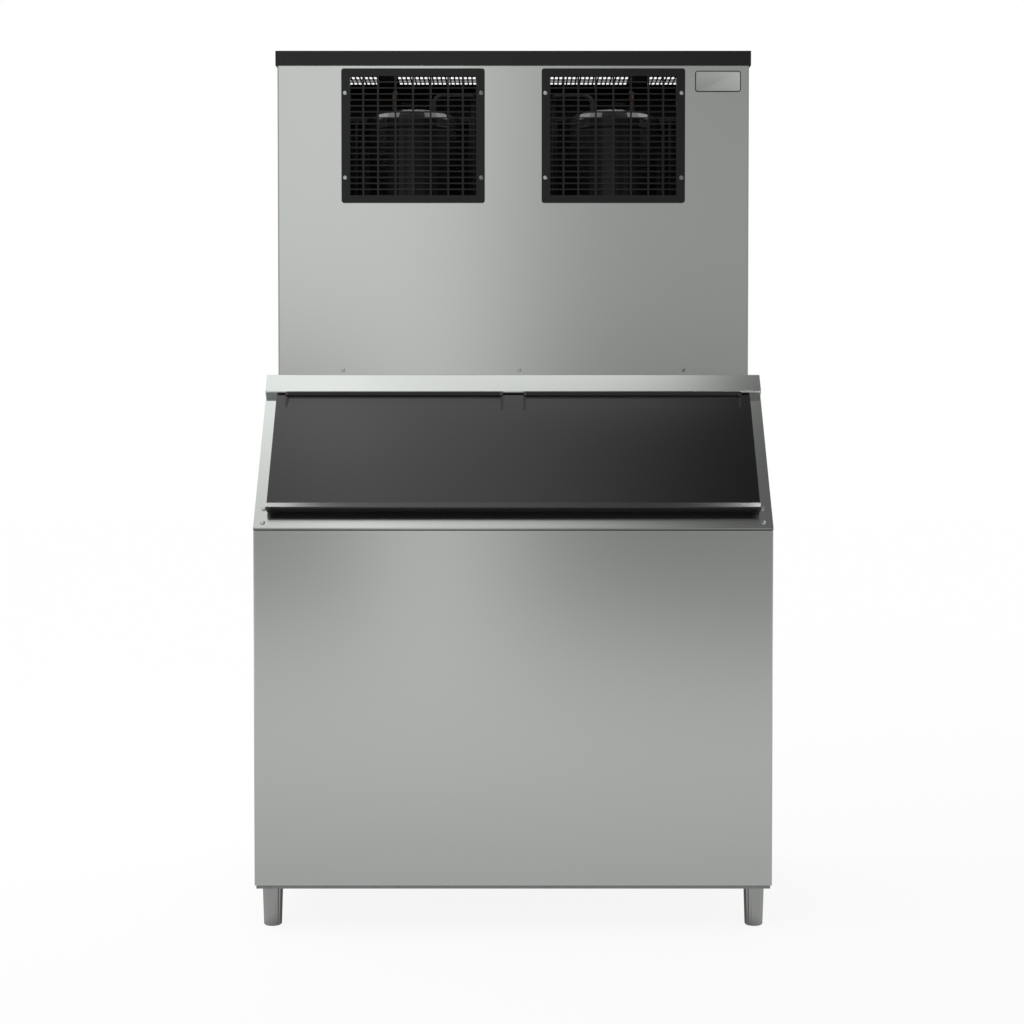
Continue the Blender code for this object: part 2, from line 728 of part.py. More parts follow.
def make_hinge_axis():
    """Empty on the hinge axis that carries the door's pieces."""
    axis = bpy.data.objects.new("door_hinge_axis", None)
    bpy.context.scene.collection.objects.link(axis)
    axis.matrix_basis = Matrix.Translation((0, *slope(HINGE_S, HINGE_N))) @ Matrix.Rotation(HOOD_ANGLE, 4, "X")
    return axis


def both_sides(low, high):
    """The span and its mirror image, each in rising order."""
    return (low, high), (-high, -low)


def make_door_panel(axis, finish):
    """Moulded outer skin of the door, notched round the hinge rods, with an ear at each end of a notch."""
    u_low, face = door_point(LIP_HIGH + GAP, DOOR_FACE)
    u_tab, back = door_point(TAB_TOP, DOOR_BACK)
    notch = -ROD_RADIUS - 2 * GAP
    outline = [
        (-DOOR_HALF, u_low),
        (DOOR_HALF, u_low),
        (DOOR_HALF, u_tab),
        (ROD_OUTER, u_tab),
        (ROD_OUTER, notch),
        (ROD_INNER, notch),
        (ROD_INNER, u_tab),
        (-ROD_INNER, u_tab),
        (-ROD_INNER, notch),
        (-ROD_OUTER, notch),
        (-ROD_OUTER, u_tab),
        (-DOOR_HALF, u_tab),
    ]
    bm = bmesh.new()
    prism(bm, rounded(outline, BEND / 2, closed=True, steps=2, corners=(2, 11)), "Z", (back, face))
    door = add_object(bm, "door_panel", finish, parent=axis)
    solid_top = -ROD_RADIUS - 2 * WALL
    bm = bmesh.new()
    side = DOOR_HALF - WALL
    box(bm, (-side, side), (u_low + WALL, solid_top), (back - WALL, face - WALL))
    cut(door, bm, "inside")
    ears = bmesh.new()
    bores = bmesh.new()
    spans = both_sides(ROD_INNER + GAP, ROD_INNER + GAP + EAR_LENGTH)
    spans += both_sides(ROD_OUTER - GAP - EAR_LENGTH, ROD_OUTER - GAP)
    for span in spans:
        knuckle = [(ROD_RADIUS * math.cos(a), ROD_RADIUS * math.sin(a)) for a in hinge_arc()]
        foot = [(solid_top + GAP, 0.0), (solid_top + GAP, back + WALL), (0.0, back + WALL)]
        prism(ears, knuckle + foot, "X", span)
    weld(door, ears, "ears")
    for span in both_sides(ROD_INNER - GAP, ROD_OUTER + GAP):
        rod(bores, (0, 0), PIN_RADIUS + GAP, span, axis="X", segments=12)
    cut(door, bores, "pin_bores")


def hinge_arc():
    """Angles round the outer half of a hinge knuckle, in the (u, w) plane."""
    steps = 8
    return [math.pi * i / steps for i in range(steps + 1)]


def make_door_lip(axis, finish):
    """Pull lip along the door's lower edge, hollow behind for the fingers."""
    u0, top = door_point(LIP_LOW, LIP_PROUD)
    u1, back = door_point(LIP_HIGH, DOOR_BACK)
    half = DOOR_HALF + LIP_OVERHANG
    bm = bmesh.new()
    corners = [(u0, back), (u1, back), (u1, top), (u0, top - LIP_RAKE)]
    outline = rounded(corners, LIP_ROUND, closed=True, corners=(2, 3))
    prism(bm, outline, "X", (-half, half))
    lip = add_object(bm, "door_handle_lip", finish, parent=axis)
    bm = bmesh.new()
    inner = half - WALL
    box(bm, (-inner, inner), (u0 + WALL, u1 - WALL), (back - WALL, top - LIP_RAKE - WALL))
    cut(lip, bm, "inside")


def make_door_pan(axis, finish):
    """Inner pan of the door: a flange under the skin and a tapering plug into the throat."""
    u_low = door_point(LIP_HIGH, 0)[0] + WALL
    u_high = door_point(TAB_TOP, 0)[0]
    flange_top = DOOR_BACK - GAP - HINGE_N
    flange_low = GASKET_HEIGHT + GAP - HINGE_N
    side = DOOR_HALF - WALL
    bm = bmesh.new()
    box(bm, (-side, side), (u_low, u_high), (flange_low, flange_top))
    pan = add_object(bm, "door_inner_pan", finish, parent=axis)
    low, high = door_point(THROAT_LOW, 0)[0] + PAN_CLEARANCE, door_point(THROAT_HIGH, 0)[0] - PAN_CLEARANCE
    half = THROAT_HALF - PAN_CLEARANCE
    bottom = GASKET_HEIGHT - PAN_DEPTH - HINGE_N
    weld(pan, plug((half, low, high), 0.0, (bottom, flange_low + GAP)), "plug")
    cut(pan, plug((half, low, high), WALL, (bottom + WALL, flange_top + WALL)), "inside")


def plug(spans, inset, heights):
    """A box that narrows towards its lower end, as a moulding with draft does."""
    half, low, high = spans
    bm = bmesh.new()
    verts = box(bm, (-half + inset, half - inset), (low + inset, high - inset), heights)
    draft = 2 * WALL
    middle = sum(heights) / 2
    for vert in verts:
        if vert.co.z < middle:
            vert.co.x -= math.copysign(draft, vert.co.x)
            vert.co.y += draft if vert.co.y < (low + high) / 2 else -draft
    return bm


def make_gasket(axis, finish):
    """Seal round the door's plug, resting on the throat's land."""
    bm = bmesh.new()
    margin = PAN_CLEARANCE / 2
    half = THROAT_HALF + margin
    low = door_point(THROAT_LOW, 0)[0] - margin
    high = door_point(THROAT_HIGH, 0)[0] + margin
    wide = GASKET_WIDTH
    ring(
        bm,
        ((-half - wide, half + wide), (low - wide, high + wide)),
        ((-half, half), (low, high)),
        (GAP - HINGE_N, GASKET_HEIGHT - HINGE_N),
    )
    add_object(bm, "door_gasket", finish, parent=axis)


def make_hinges(axis, sleeve_finish, pin_finish):
    """Fixed hinge sleeves under the rail and the door's pins through them."""
    place = axis.matrix_basis.copy()
    for name, sign in (("left", -1), ("right", 1)):
        bm = bmesh.new()
        ends = (ROD_INNER + EAR_LENGTH + 3 * GAP, ROD_OUTER - EAR_LENGTH - 3 * GAP)
        span = tuple(sorted(sign * end for end in ends))
        rod(bm, (0, 0), ROD_RADIUS, span, axis="X", segments=16)
        sleeve = add_object(bm, f"hinge_sleeve_{name}", sleeve_finish, place)
        bm = bmesh.new()
        rod(bm, (0, 0), PIN_RADIUS + GAP, (span[0] - WALL, span[1] + WALL), axis="X", segments=12)
        cut(sleeve, bm, "bore")
        bm = bmesh.new()
        ends = (ROD_INNER + 2 * GAP, ROD_OUTER - 2 * GAP)
        span = tuple(sorted(sign * end for end in ends))
        rod(bm, (0, 0), PIN_RADIUS, span, axis="X", segments=12)
        add_object(bm, f"hinge_pin_{name}", pin_finish, parent=axis)


def grille_centres():
    """Side names and x of the two front grilles."""
    return (("left", -GRILLE_OFFSET), ("right", GRILLE_OFFSET))


def machine_centres():
    """Side names and x of the two refrigeration sets."""
    return (("left", -MACHINE_OFFSET), ("right", MACHINE_OFFSET))


def rear_fittings():
    """(x, z, radius) of each hole that the head's rear panel has for a fitting."""
    low = HEAD_BASE + 0.110
    return {
        "water_inlet": (-HEAD_SIDE * 0.80, low + 0.060, FITTING_RADIUS),
        "head_drain": (-HEAD_SIDE * 0.80, low, FITTING_RADIUS),
        "cable_gland": (HEAD_SIDE * 0.80, MECH_DECK + 0.080, GLAND_RADIUS),
    }


def make_head_panels(finish):
    """Base pan, front, sides and rear of the head."""
    bm = bmesh.new()
    ys = (HEAD_FRONT + SHEET + GAP, HEAD_BACK_INNER)
    corners = [(-HEAD_INNER, ys[0]), (HEAD_INNER, ys[0]), (HEAD_INNER, ys[1]), (-HEAD_INNER, ys[1])]
    prism(bm, rounded(corners, BEND, closed=True), "Z", (HEAD_BASE, HEAD_BASE + HEAD_BASE_RIM))
    pan = add_object(bm, "head_base_frame", finish)
    bm = bmesh.new()
    floor = HEAD_BASE + SHEET
    ends = (ys[0] + SHEET, ys[1] - SHEET)
    inner = HEAD_INNER - SHEET
    corners = [(-inner, ends[0]), (inner, ends[0]), (inner, ends[1]), (-inner, ends[1])]
    prism(bm, rounded(corners, BEND - SHEET, closed=True), "Z", (floor, floor + 2 * HEAD_BASE_RIM))
    cut(pan, bm, "inside")
    bm = bmesh.new()
    xs, drop_ys = drop_opening()
    box(bm, xs, drop_ys, (HEAD_BASE - WALL, floor + WALL))
    cut(pan, bm, "ice_drop")

    bm = bmesh.new()
    span = (HEAD_BASE, HEAD_PANEL_TOP)
    back = HEAD_FRONT + HEAD_RETURN
    path = [(-HEAD_SIDE, back), (-HEAD_SIDE, HEAD_FRONT), (HEAD_SIDE, HEAD_FRONT), (HEAD_SIDE, back)]
    prism(bm, folded(path, SHEET), "Z", span)
    front = add_object(bm, "head_front_panel", finish)
    bm = bmesh.new()
    half = OPENING_WIDTH / 2 + SHEET + GAP
    tall = OPENING_HEIGHT / 2 + SHEET + GAP
    for _, x in grille_centres():
        box(bm, (x - half, x + half), (HEAD_FRONT - WALL, HEAD_FRONT + WALL), (GRILLE_Z - tall, GRILLE_Z + tall))
    cut(front, bm, "grille_openings")

    for name, sign in (("head_side_left", -1), ("head_side_right", 1)):
        bm = bmesh.new()
        side = sign * HEAD_SIDE
        path = [(side, back + 2 * GAP), (side, HEAD_REAR), (sign * (HEAD_SIDE - HEAD_RETURN), HEAD_REAR)]
        prism(bm, folded(path, sign * SHEET), "Z", span)
        add_object(bm, name, finish)

    bm = bmesh.new()
    depth = (HEAD_BACK_INNER + GAP, HEAD_REAR - SHEET - GAP)
    half = HEAD_SIDE - BEND - SHEET
    box(bm, (-half, half), depth, span)
    rear = add_object(bm, "head_rear_panel", finish)
    bm = bmesh.new()
    through = (depth[0] - WALL, depth[1] + WALL)
    for _, x in machine_centres():
        for row in range(7):
            z = FAN_Z + (row - 3) * 0.032
            box(bm, (x - 0.14, x + 0.14), through, (z - 0.005, z + 0.005))
    for x, z, radius in rear_fittings().values():
        rod(bm, (x, z), radius + GAP, through, axis="Y", segments=16)
    cut(rear, bm, "vents")


def make_top_cover(finish):
    """Slotted cover of the head, its skirt hanging outside the panels."""
    xs = (-HEAD_SIDE - CAP_OVERHANG, HEAD_SIDE + CAP_OVERHANG)
    ys = (CAP_FRONT, HEAD_REAR + CAP_OVERHANG)
    bm = bmesh.new()
    box(bm, xs, ys, (CAP_TOP - CAP_SKIRT, CAP_TOP))
    rim = [edge for edge in bm.edges if all(v.co.z > CAP_TOP - CAP_SHEET for v in edge.verts)]
    bmesh.ops.bevel(bm, geom=rim, offset=CAP_SHEET, segments=2, profile=0.5, affect="EDGES", material=-1)
    cover = add_object(bm, "head_top_cover", finish)
    bm = bmesh.new()
    wall = CAP_SHEET
    box(
        bm,
        (xs[0] + wall, xs[1] - wall),
        (ys[0] + wall, ys[1] - wall),
        (CAP_TOP - 2 * CAP_SKIRT, CAP_TOP - wall),
    )
    cut(cover, bm, "inside")
    bm = bmesh.new()
    for start, count in SLOT_FIELDS:
        for column in range(count):
            x = start + SLOT_PITCH * column
            for row in range(SLOT_ROWS):
                y = HEAD_FRONT + SLOT_SETBACK + SLOT_ROW_PITCH * row
                for span in both_sides(x - SLOT_WIDTH / 2, x + SLOT_WIDTH / 2):
                    box(bm, span, (y - SLOT_LENGTH / 2, y + SLOT_LENGTH / 2), (CAP_TOP - 2 * WALL, CAP_TOP + WALL))
    cut(cover, bm, "slots")


def make_grille(name, centre, finish):
    """Moulded grille: a flange on the panel's face, a collar through it, and a lattice of slats and bars."""
    face = HEAD_FRONT - GAP - GRILLE_THICKNESS
    half_w, half_h = GRILLE_WIDTH / 2, GRILLE_HEIGHT / 2
    open_w, open_h = OPENING_WIDTH / 2, OPENING_HEIGHT / 2
    corners = [(-half_w, -half_h), (half_w, -half_h), (half_w, half_h), (-half_w, half_h)]
    place = Matrix.Translation((centre, 0, GRILLE_Z))
    bm = bmesh.new()
    prism(bm, rounded(corners, GRILLE_CORNER, closed=True), "Y", (face, face + GRILLE_THICKNESS))
    grille = add_object(bm, f"fan_grille_{name}", finish, place)
    bm = bmesh.new()
    collar = (face + GRILLE_THICKNESS / 2, HEAD_FRONT + GRILLE_COLLAR)
    box(bm, (-open_w - SHEET, open_w + SHEET), collar, (-open_h - SHEET, open_h + SHEET))
    weld(grille, bm, "collar")
    bm = bmesh.new()
    box(bm, (-open_w, open_w), (face + GRILLE_THICKNESS + GAP, HEAD_FRONT + 2 * GRILLE_COLLAR), (-open_h, open_h))
    cut(grille, bm, "behind")
    bm = bmesh.new()
    through = (face - WALL, face + GRILLE_THICKNESS + WALL)
    for xs in openings_between(-open_w, open_w, BAR_OFFSETS, BAR_WIDTH):
        for zs in openings_between(-open_h, open_h, slat_heights(), SLAT_HEIGHT):
            box(bm, xs, through, zs)
    cut(grille, bm, "lattice")


def slat_heights():
    """Heights of the slats above the grille's middle, evenly spread over the opening."""
    pitch = OPENING_HEIGHT / (SLATS + 1)
    return [pitch * (i + 1) - OPENING_HEIGHT / 2 for i in range(SLATS)]


def openings_between(low, high, centres, width):
    """The clear spans between bars of one width at the given centres."""
    edges = [low]
    for centre in centres:
        edges += [centre - width / 2, centre + width / 2]
    edges.append(high)
    return list(zip(edges[::2], edges[1::2]))


def make_mech_deck(finish):
    """Shelf between the ice compartment and the machinery, with holes for the suction pipes."""
    ys = (HEAD_FRONT + GRILLE_COLLAR + WALL, HEAD_BACK_INNER)
    bm = bmesh.new()
    box(bm, (-HEAD_INNER, HEAD_INNER), ys, (MECH_DECK - HEAD_BASE_RIM, MECH_DECK))
    deck = add_object(bm, "mech_deck", finish)
    bm = bmesh.new()
    inner = HEAD_INNER - SHEET
    under = MECH_DECK - SHEET
    box(bm, (-inner, inner), (ys[0] + SHEET, ys[1] - SHEET), (under - 2 * HEAD_BASE_RIM, under))
    cut(deck, bm, "underside")
    bm = bmesh.new()
    for _, x, y in suction_holes():
        rod(bm, (x, y), 2 * PIPE_RADIUS, (under - WALL, MECH_DECK + WALL))
    cut(deck, bm, "pipe_holes")


def suction_holes():
    """Side name, x and y of each place where a suction pipe comes down through the deck."""
    y = EVAPORATOR_Y + OUTLET_SETBACK
    x = MACHINE_OFFSET - EVAPORATOR_WIDTH / 2 + 0.050
    return (("left", -x, y), ("right", x, y))


def stub_offset():
    """Distance of a compressor's stubs from its axis."""
    return DRUM_RADIUS * 0.4


def make_compressor(name, centre, finish):
    """Hermetic compressor: a drum with domed ends and a weld seam, its base plate and two stubs."""
    seam = DRUM_HEIGHT - 0.032
    bm = bmesh.new()
    profile = [
        (0.0, 0.002),
        (DRUM_RADIUS * 0.84, 0.002),
        (DRUM_RADIUS, 0.030),
        (DRUM_RADIUS, seam),
        (DRUM_RADIUS + 0.003, seam + 0.002),
        (DRUM_RADIUS + 0.003, seam + 0.006),
        (DRUM_RADIUS - 0.001, seam + 0.008),
        (DRUM_RADIUS - 0.001, DRUM_HEIGHT - 0.006),
        (DRUM_RADIUS * 0.93, DRUM_HEIGHT + DOME_HEIGHT * 0.30),
        (DRUM_RADIUS * 0.62, DRUM_HEIGHT + DOME_HEIGHT * 0.80),
        (0.0, DRUM_HEIGHT + DOME_HEIGHT),
    ]
    turned(bm, profile, segments=24)
    place = Matrix.Translation((centre, DRUM_Y, MECH_FLOOR))
    drum = add_object(bm, f"compressor_{name}", finish, place)
    bm = bmesh.new()
    half = DRUM_RADIUS * 0.86
    plate = rounded([(-half, -half), (half, -half), (half, half), (-half, half)], 0.2 * half, closed=True, steps=2)
    prism(bm, plate, "Z", (0.0, 0.005))
    weld(drum, bm, "base")
    bm = bmesh.new()
    for x in (-stub_offset(), stub_offset()):
        rod(bm, (x, 0), STUB_RADIUS, (DRUM_HEIGHT, DRUM_HEIGHT + DOME_HEIGHT + 0.014), segments=10)
    weld(drum, bm, "stubs")


def make_condenser(name, centre, finish):
    """Finned condenser block, open between its fins, with an inlet stub on top."""
    half = CONDENSER_WIDTH / 2
    place = Matrix.Translation((centre, CONDENSER_Y, MECH_FLOOR))
    bm = bmesh.new()
    box(bm, (-half, half), (0, CONDENSER_DEPTH), (0, CONDENSER_HEIGHT))
    core = add_object(bm, f"condenser_{name}", finish, place)
    pitch = (CONDENSER_WIDTH - 2 * WALL) / FINS
    rail = 4 * WALL
    bm = bmesh.new()
    for i in range(FINS):
        x = -half + WALL + pitch * i
        box(bm, (x + pitch * 0.15, x + pitch * 0.85), (-WALL, CONDENSER_DEPTH + WALL), (rail, CONDENSER_HEIGHT - rail))
    cut(core, bm, "fin_gaps")
    bm = bmesh.new()
    rod(bm, (0, CONDENSER_DEPTH / 2), STUB_RADIUS, (CONDENSER_HEIGHT - WALL, CONDENSER_HEIGHT + 0.010), segments=10)
    weld(core, bm, "inlet")


def make_shroud(name, centre, finish):
    """Fan shroud behind the condenser, a shallow box with a round throat."""
    half = CONDENSER_WIDTH / 2
    tall = CONDENSER_HEIGHT
    place = Matrix.Translation((centre, SHROUD_Y, MECH_FLOOR))
    bm = bmesh.new()
    box(bm, (-half, half), (0, SHROUD_DEPTH), (0, tall))
    shroud = add_object(bm, f"fan_shroud_{name}", finish, place)
    bm = bmesh.new()
    box(bm, (-half + WALL, half - WALL), (-WALL, SHROUD_DEPTH - WALL), (WALL, tall - WALL))
    cut(shroud, bm, "plenum")
    bm = bmesh.new()
    rod(bm, (0, tall / 2), FAN_HOLE_RADIUS, (-WALL, SHROUD_DEPTH + WALL), axis="Y", segments=28)
    cut(shroud, bm, "throat")


def make_fan(name, centre, finish):
    """Fan rotor with pitched blades, its origin on the spin axis."""
    place = Matrix.Translation((centre, FAN_Y, FAN_Z))
    bm = bmesh.new()
    rod(bm, (0, 0), HUB_RADIUS, (0, FAN_DEPTH), axis="Y", segments=20)
    rotor = add_object(bm, f"fan_{name}", finish, place)
    blades = bmesh.new()
    thickness = 0.0022
    stations = ((HUB_RADIUS - WALL, 0.020, 40), (0.064, 0.032, 30), (FAN_RADIUS, 0.036, 22))
    for blade in range(FAN_BLADES):
        rows = []
        spin = Matrix.Rotation(2 * math.pi * blade / FAN_BLADES, 4, "Y")
        for radius, chord, pitch in stations:
            run = chord / 2 * math.cos(math.radians(pitch))
            rise = chord / 2 * math.sin(math.radians(pitch))
            arc = math.sqrt(max(radius * radius - run * run, 0.0))
            across = Vector((run, rise, 0))
            middle = Vector((0, FAN_DEPTH / 2, arc))
            lift = Vector((-rise, run, 0)).normalized() * thickness / 2
            corners = (middle - across - lift, middle + across - lift, middle + across + lift, middle - across + lift)
            rows.append([blades.verts.new(spin @ corner) for corner in corners])
        for inner, outer in zip(rows, rows[1:]):
            for i in range(4):
                j = (i + 1) % 4
                blades.faces.new((inner[i], inner[j], outer[j], outer[i]))
        blades.faces.new(rows[0][::-1])
        blades.faces.new(rows[-1])
    weld(rotor, blades, "blades")
    bm = bmesh.new()
    rod(bm, (0, 0), SHAFT_RADIUS + GAP, (-WALL, FAN_DEPTH + WALL), axis="Y", segments=12)
    cut(rotor, bm, "bore")


def make_fan_motor(name, centre, finish):
    """Fan motor with its shaft and a four-armed bracket to the shroud."""
    place = Matrix.Translation((centre, FAN_Y, FAN_Z))
    start = FAN_DEPTH + MOTOR_SETBACK
    bm = bmesh.new()
    rod(bm, (0, 0), MOTOR_RADIUS, (start, start + MOTOR_LENGTH), axis="Y", segments=20)
    motor = add_object(bm, f"fan_motor_{name}", finish, place)
    bm = bmesh.new()
    rod(bm, (0, 0), SHAFT_RADIUS, (0.0, start + WALL), axis="Y", segments=12)
    weld(motor, bm, "shaft")
    bracket = bmesh.new()
    shroud_back = SHROUD_Y + SHROUD_DEPTH + GAP - FAN_Y
    reach = FAN_HOLE_RADIUS + 4 * WALL
    arm = 1.3 * WALL
    bar = (start + 3 * WALL, start + 4 * WALL)
    for turn in range(4):
        spin = Matrix.Rotation(math.radians(45 + 90 * turn), 4, "Y")
        outline = [
            (MOTOR_RADIUS - WALL, bar[0]),
            (reach - WALL, bar[0]),
            (reach - WALL, shroud_back),
            (reach, shroud_back),
            (reach, bar[1]),
            (MOTOR_RADIUS - WALL, bar[1]),
        ]
        verts = prism(bracket, outline, "Z", (-arm, arm))
        bmesh.ops.transform(bracket, matrix=spin, verts=verts)
    weld(motor, bracket, "bracket")


def pipe(name, route, radius, finish, bend=0.020):
    """Pipe along a route whose corners are bent round, with filled ends."""
    points = bent(route, bend)
    curve = bpy.data.curves.new(name, "CURVE")
    curve.dimensions = "3D"
    curve.bevel_depth = radius
    curve.bevel_resolution = 2
    curve.use_fill_caps = True
    spline = curve.splines.new("POLY")
    spline.points.add(len(points) - 1)
    for target, point in zip(spline.points, points):
        target.co = (*point, 1.0)
    curve.materials.append(finish)
    obj = bpy.data.objects.new(name, curve)
    bpy.context.scene.collection.objects.link(obj)


def bent(route, radius, steps=2):
    """The route with an arc at each inner corner."""
    points = [Vector(route[0])]
    for before, corner, after in zip(route, route[1:], route[2:]):
        corner = Vector(corner)
        back = (Vector(before) - corner).normalized()
        ahead = (Vector(after) - corner).normalized()
        half = back.angle(ahead) / 2
        reach = radius / math.tan(half)
        centre = corner + (back + ahead).normalized() * (radius / math.sin(half))
        first = corner + back * reach - centre
        last = corner + ahead * reach - centre
        for step in range(steps + 1):
            points.append(centre + first.slerp(last, step / steps).normalized() * radius)
    points.append(Vector(route[-1]))
    return points


def make_pipes(finish):
    """Discharge pipes to the condensers and suction pipes from the evaporators."""
    stub_top = MECH_FLOOR + DRUM_HEIGHT + DOME_HEIGHT + 0.014 + GAP
    over = stub_top + 0.030
    inlet = MECH_FLOOR + CONDENSER_HEIGHT + 0.010 + GAP
    outlet = EVAPORATOR_TOP + 0.010 + GAP
    condenser_y = CONDENSER_Y + CONDENSER_DEPTH / 2
    for (name, x, y), (_, centre) in zip(suction_holes(), machine_centres()):
        sign = math.copysign(1.0, centre)
        outer = centre + sign * stub_offset()
        rise = max(over, inlet + 0.024)
        discharge = [(outer, DRUM_Y, stub_top), (outer, DRUM_Y, rise), (outer, condenser_y, rise)]
        discharge += [(centre, condenser_y, rise), (centre, condenser_y, inlet)]
        pipe(f"discharge_pipe_{name}", discharge, PIPE_RADIUS, finish)
        inner = centre - sign * stub_offset()
        suction = [(inner, DRUM_Y, stub_top), (inner, DRUM_Y, over), (x, DRUM_Y, over), (x, y, over), (x, y, outlet)]
        pipe(f"suction_pipe_{name}", suction, PIPE_RADIUS, finish)


def make_evaporator(name, centre, finish):
    """Plate evaporator with rows of ice cells, hung from the deck by two straps."""
    half = EVAPORATOR_WIDTH / 2
    place = Matrix.Translation((centre, EVAPORATOR_Y, EVAPORATOR_TOP))
    bm = bmesh.new()
    box(bm, (-half, half), (0, EVAPORATOR_DEPTH), (-EVAPORATOR_HEIGHT, 0))
    plate = add_object(bm, f"evaporator_{name}", finish, place)
    bm = bmesh.new()
    wide = EVAPORATOR_WIDTH / CELL_COLUMNS
    tall = EVAPORATOR_HEIGHT / CELL_ROWS
    for column in range(CELL_COLUMNS):
        for row in range(CELL_ROWS):
            x = -half + wide * column
            z = -tall * (row + 1)
            xs = (x + SHEET, x + wide - SHEET)
            box(bm, xs, (-WALL, EVAPORATOR_DEPTH - 2 * WALL), (z + SHEET, z + tall - SHEET))
    cut(plate, bm, "cells")
    bm = bmesh.new()
    for side in (-1, 1):
        x = side * (half + 2 * WALL)
        xs = tuple(sorted((side * (half - WALL), x)))
        box(bm, xs, (EVAPORATOR_DEPTH - 3 * WALL, EVAPORATOR_DEPTH - WALL), (-6 * WALL, EVAPORATOR_DROP - GAP))
        xs = tuple(sorted((side * (half + WALL), x)))
        front = -CURTAIN_GAP - CURTAIN_BEAD - WALL
        box(bm, xs, (front, EVAPORATOR_DEPTH - 2 * WALL), (-6 * WALL, 0))
    weld(plate, bm, "straps")
    bm = bmesh.new()
    sign = math.copysign(1.0, centre)
    where = (sign * (abs(suction_holes()[0][1]) - MACHINE_OFFSET), OUTLET_SETBACK)
    rod(bm, where, STUB_RADIUS, (-WALL, 0.010), segments=10)
    weld(plate, bm, "outlet")
    bm = bmesh.new()
    axis = (-CURTAIN_GAP, -CURTAIN_BEAD)
    rod(bm, axis, PIN_RADIUS + GAP, (-half - 4 * WALL, half + 4 * WALL), axis="X", segments=12)
    cut(plate, bm, "pivots")


def make_curtain(name, centre, finish):
    """Ice curtain that hangs in front of the evaporator, its origin on its pivot."""
    half = EVAPORATOR_WIDTH / 2
    place = Matrix.Translation((centre, CURTAIN_Y, CURTAIN_Z))
    bm = bmesh.new()
    low = -EVAPORATOR_HEIGHT + 4 * CURTAIN_BEAD
    box(bm, (-half, half), (-CURTAIN_THICKNESS / 2, CURTAIN_THICKNESS / 2), (low, 0))
    curtain = add_object(bm, f"ice_curtain_{name}", finish, place)
    bm = bmesh.new()
    rod(bm, (0, 0), CURTAIN_BEAD, (-half, half), axis="X", segments=12)
    weld(curtain, bm, "bead")
    bm = bmesh.new()
    rod(bm, (0, 0), PIN_RADIUS, (-half - 2 * WALL, half + 2 * WALL), axis="X", segments=12)
    weld(curtain, bm, "pins")


def make_trough(finish):
    """Water trough under both evaporators, carried by the head's base pan."""
    half = TROUGH_WIDTH / 2
    ys = (TROUGH_Y - TROUGH_DEPTH / 2, TROUGH_Y + TROUGH_DEPTH / 2)
    bm = bmesh.new()
    outline = [(ys[0], TROUGH_Z), (ys[1], TROUGH_Z), (ys[1], TROUGH_Z + TROUGH_HEIGHT), (ys[0], TROUGH_Z + TROUGH_HEIGHT)]
    prism(bm, rounded(outline, 4 * WALL, closed=True, corners=(0, 1)), "X", (-half, half))
    trough = add_object(bm, "water_trough", finish)
    bm = bmesh.new()
    wall = TROUGH_WALL
    top = TROUGH_Z + 2 * TROUGH_HEIGHT
    inner = [(ys[0] + wall, TROUGH_Z + wall), (ys[1] - wall, TROUGH_Z + wall), (ys[1] - wall, top), (ys[0] + wall, top)]
    prism(bm, rounded(inner, 4 * WALL - wall, closed=True, corners=(0, 1)), "X", (-half + wall, half - wall))
    cut(trough, bm, "inside")


def pump_place():
    """(x, y) of the water pump, at the trough's right end."""
    return TROUGH_WIDTH / 2 - TROUGH_WALL - PUMP_RADIUS - WALL, TROUGH_Y


def make_water_parts(plastic, hose_finish):
    """Pump in the trough, spray bar over the evaporators and the hose between them."""
    x, y = pump_place()
    floor = TROUGH_Z + TROUGH_WALL + GAP
    bm = bmesh.new()
    profile = [
        (0.0, 0.0),
        (PUMP_RADIUS * 0.8, 0.0),
        (PUMP_RADIUS * 0.8, 0.024),
        (PUMP_RADIUS * 0.35, 0.028),
        (PUMP_RADIUS * 0.35, 0.060),
        (PUMP_RADIUS, 0.064),
        (PUMP_RADIUS, PUMP_HEIGHT - 0.006),
        (PUMP_RADIUS * 0.8, PUMP_HEIGHT),
        (0.0, PUMP_HEIGHT),
    ]
    turned(bm, profile, segments=18)
    pump = add_object(bm, "water_pump", plastic, Matrix.Translation((x, y, floor)))
    bm = bmesh.new()
    outlet = PUMP_RADIUS * 0.5
    rod(bm, (outlet, 0), STUB_RADIUS * 0.8, (PUMP_HEIGHT - WALL, PUMP_HEIGHT + 0.010), segments=10)
    weld(pump, bm, "outlet")
    bar_z = EVAPORATOR_TOP + SPRAY_RADIUS + GAP
    bar_y = EVAPORATOR_Y + SPRAY_RADIUS / 2
    end = MACHINE_OFFSET + EVAPORATOR_WIDTH / 2
    bm = bmesh.new()
    rod(bm, (bar_y, bar_z), SPRAY_RADIUS, (-end, end), axis="X", segments=12)
    add_object(bm, "spray_bar", plastic)
    start = (x + outlet, y, floor + PUMP_HEIGHT + 0.010 + GAP)
    route = [start, (x + outlet, y, start[2] + 0.040), (x + outlet, bar_y, start[2] + 0.090)]
    route += [(x + outlet, bar_y, bar_z), (end + GAP, bar_y, bar_z)]
    pipe("water_hose", route, PIPE_RADIUS, hose_finish, bend=0.014)


def make_control_box(finish):
    """Control box between the grilles, with its folded cover."""
    half = CONTROL_WIDTH / 2
    front = HEAD_FRONT + GRILLE_COLLAR + 3 * WALL
    bm = bmesh.new()
    box(bm, (-half, half), (front, front + CONTROL_DEPTH), (MECH_FLOOR, MECH_FLOOR + CONTROL_HEIGHT))
    edges = [edge for edge in bm.edges if all(v.co.y < front + GAP for v in edge.verts)]
    bmesh.ops.bevel(bm, geom=edges, offset=BEND, segments=2, profile=0.5, affect="EDGES", material=-1)
    add_object(bm, "control_box", finish)


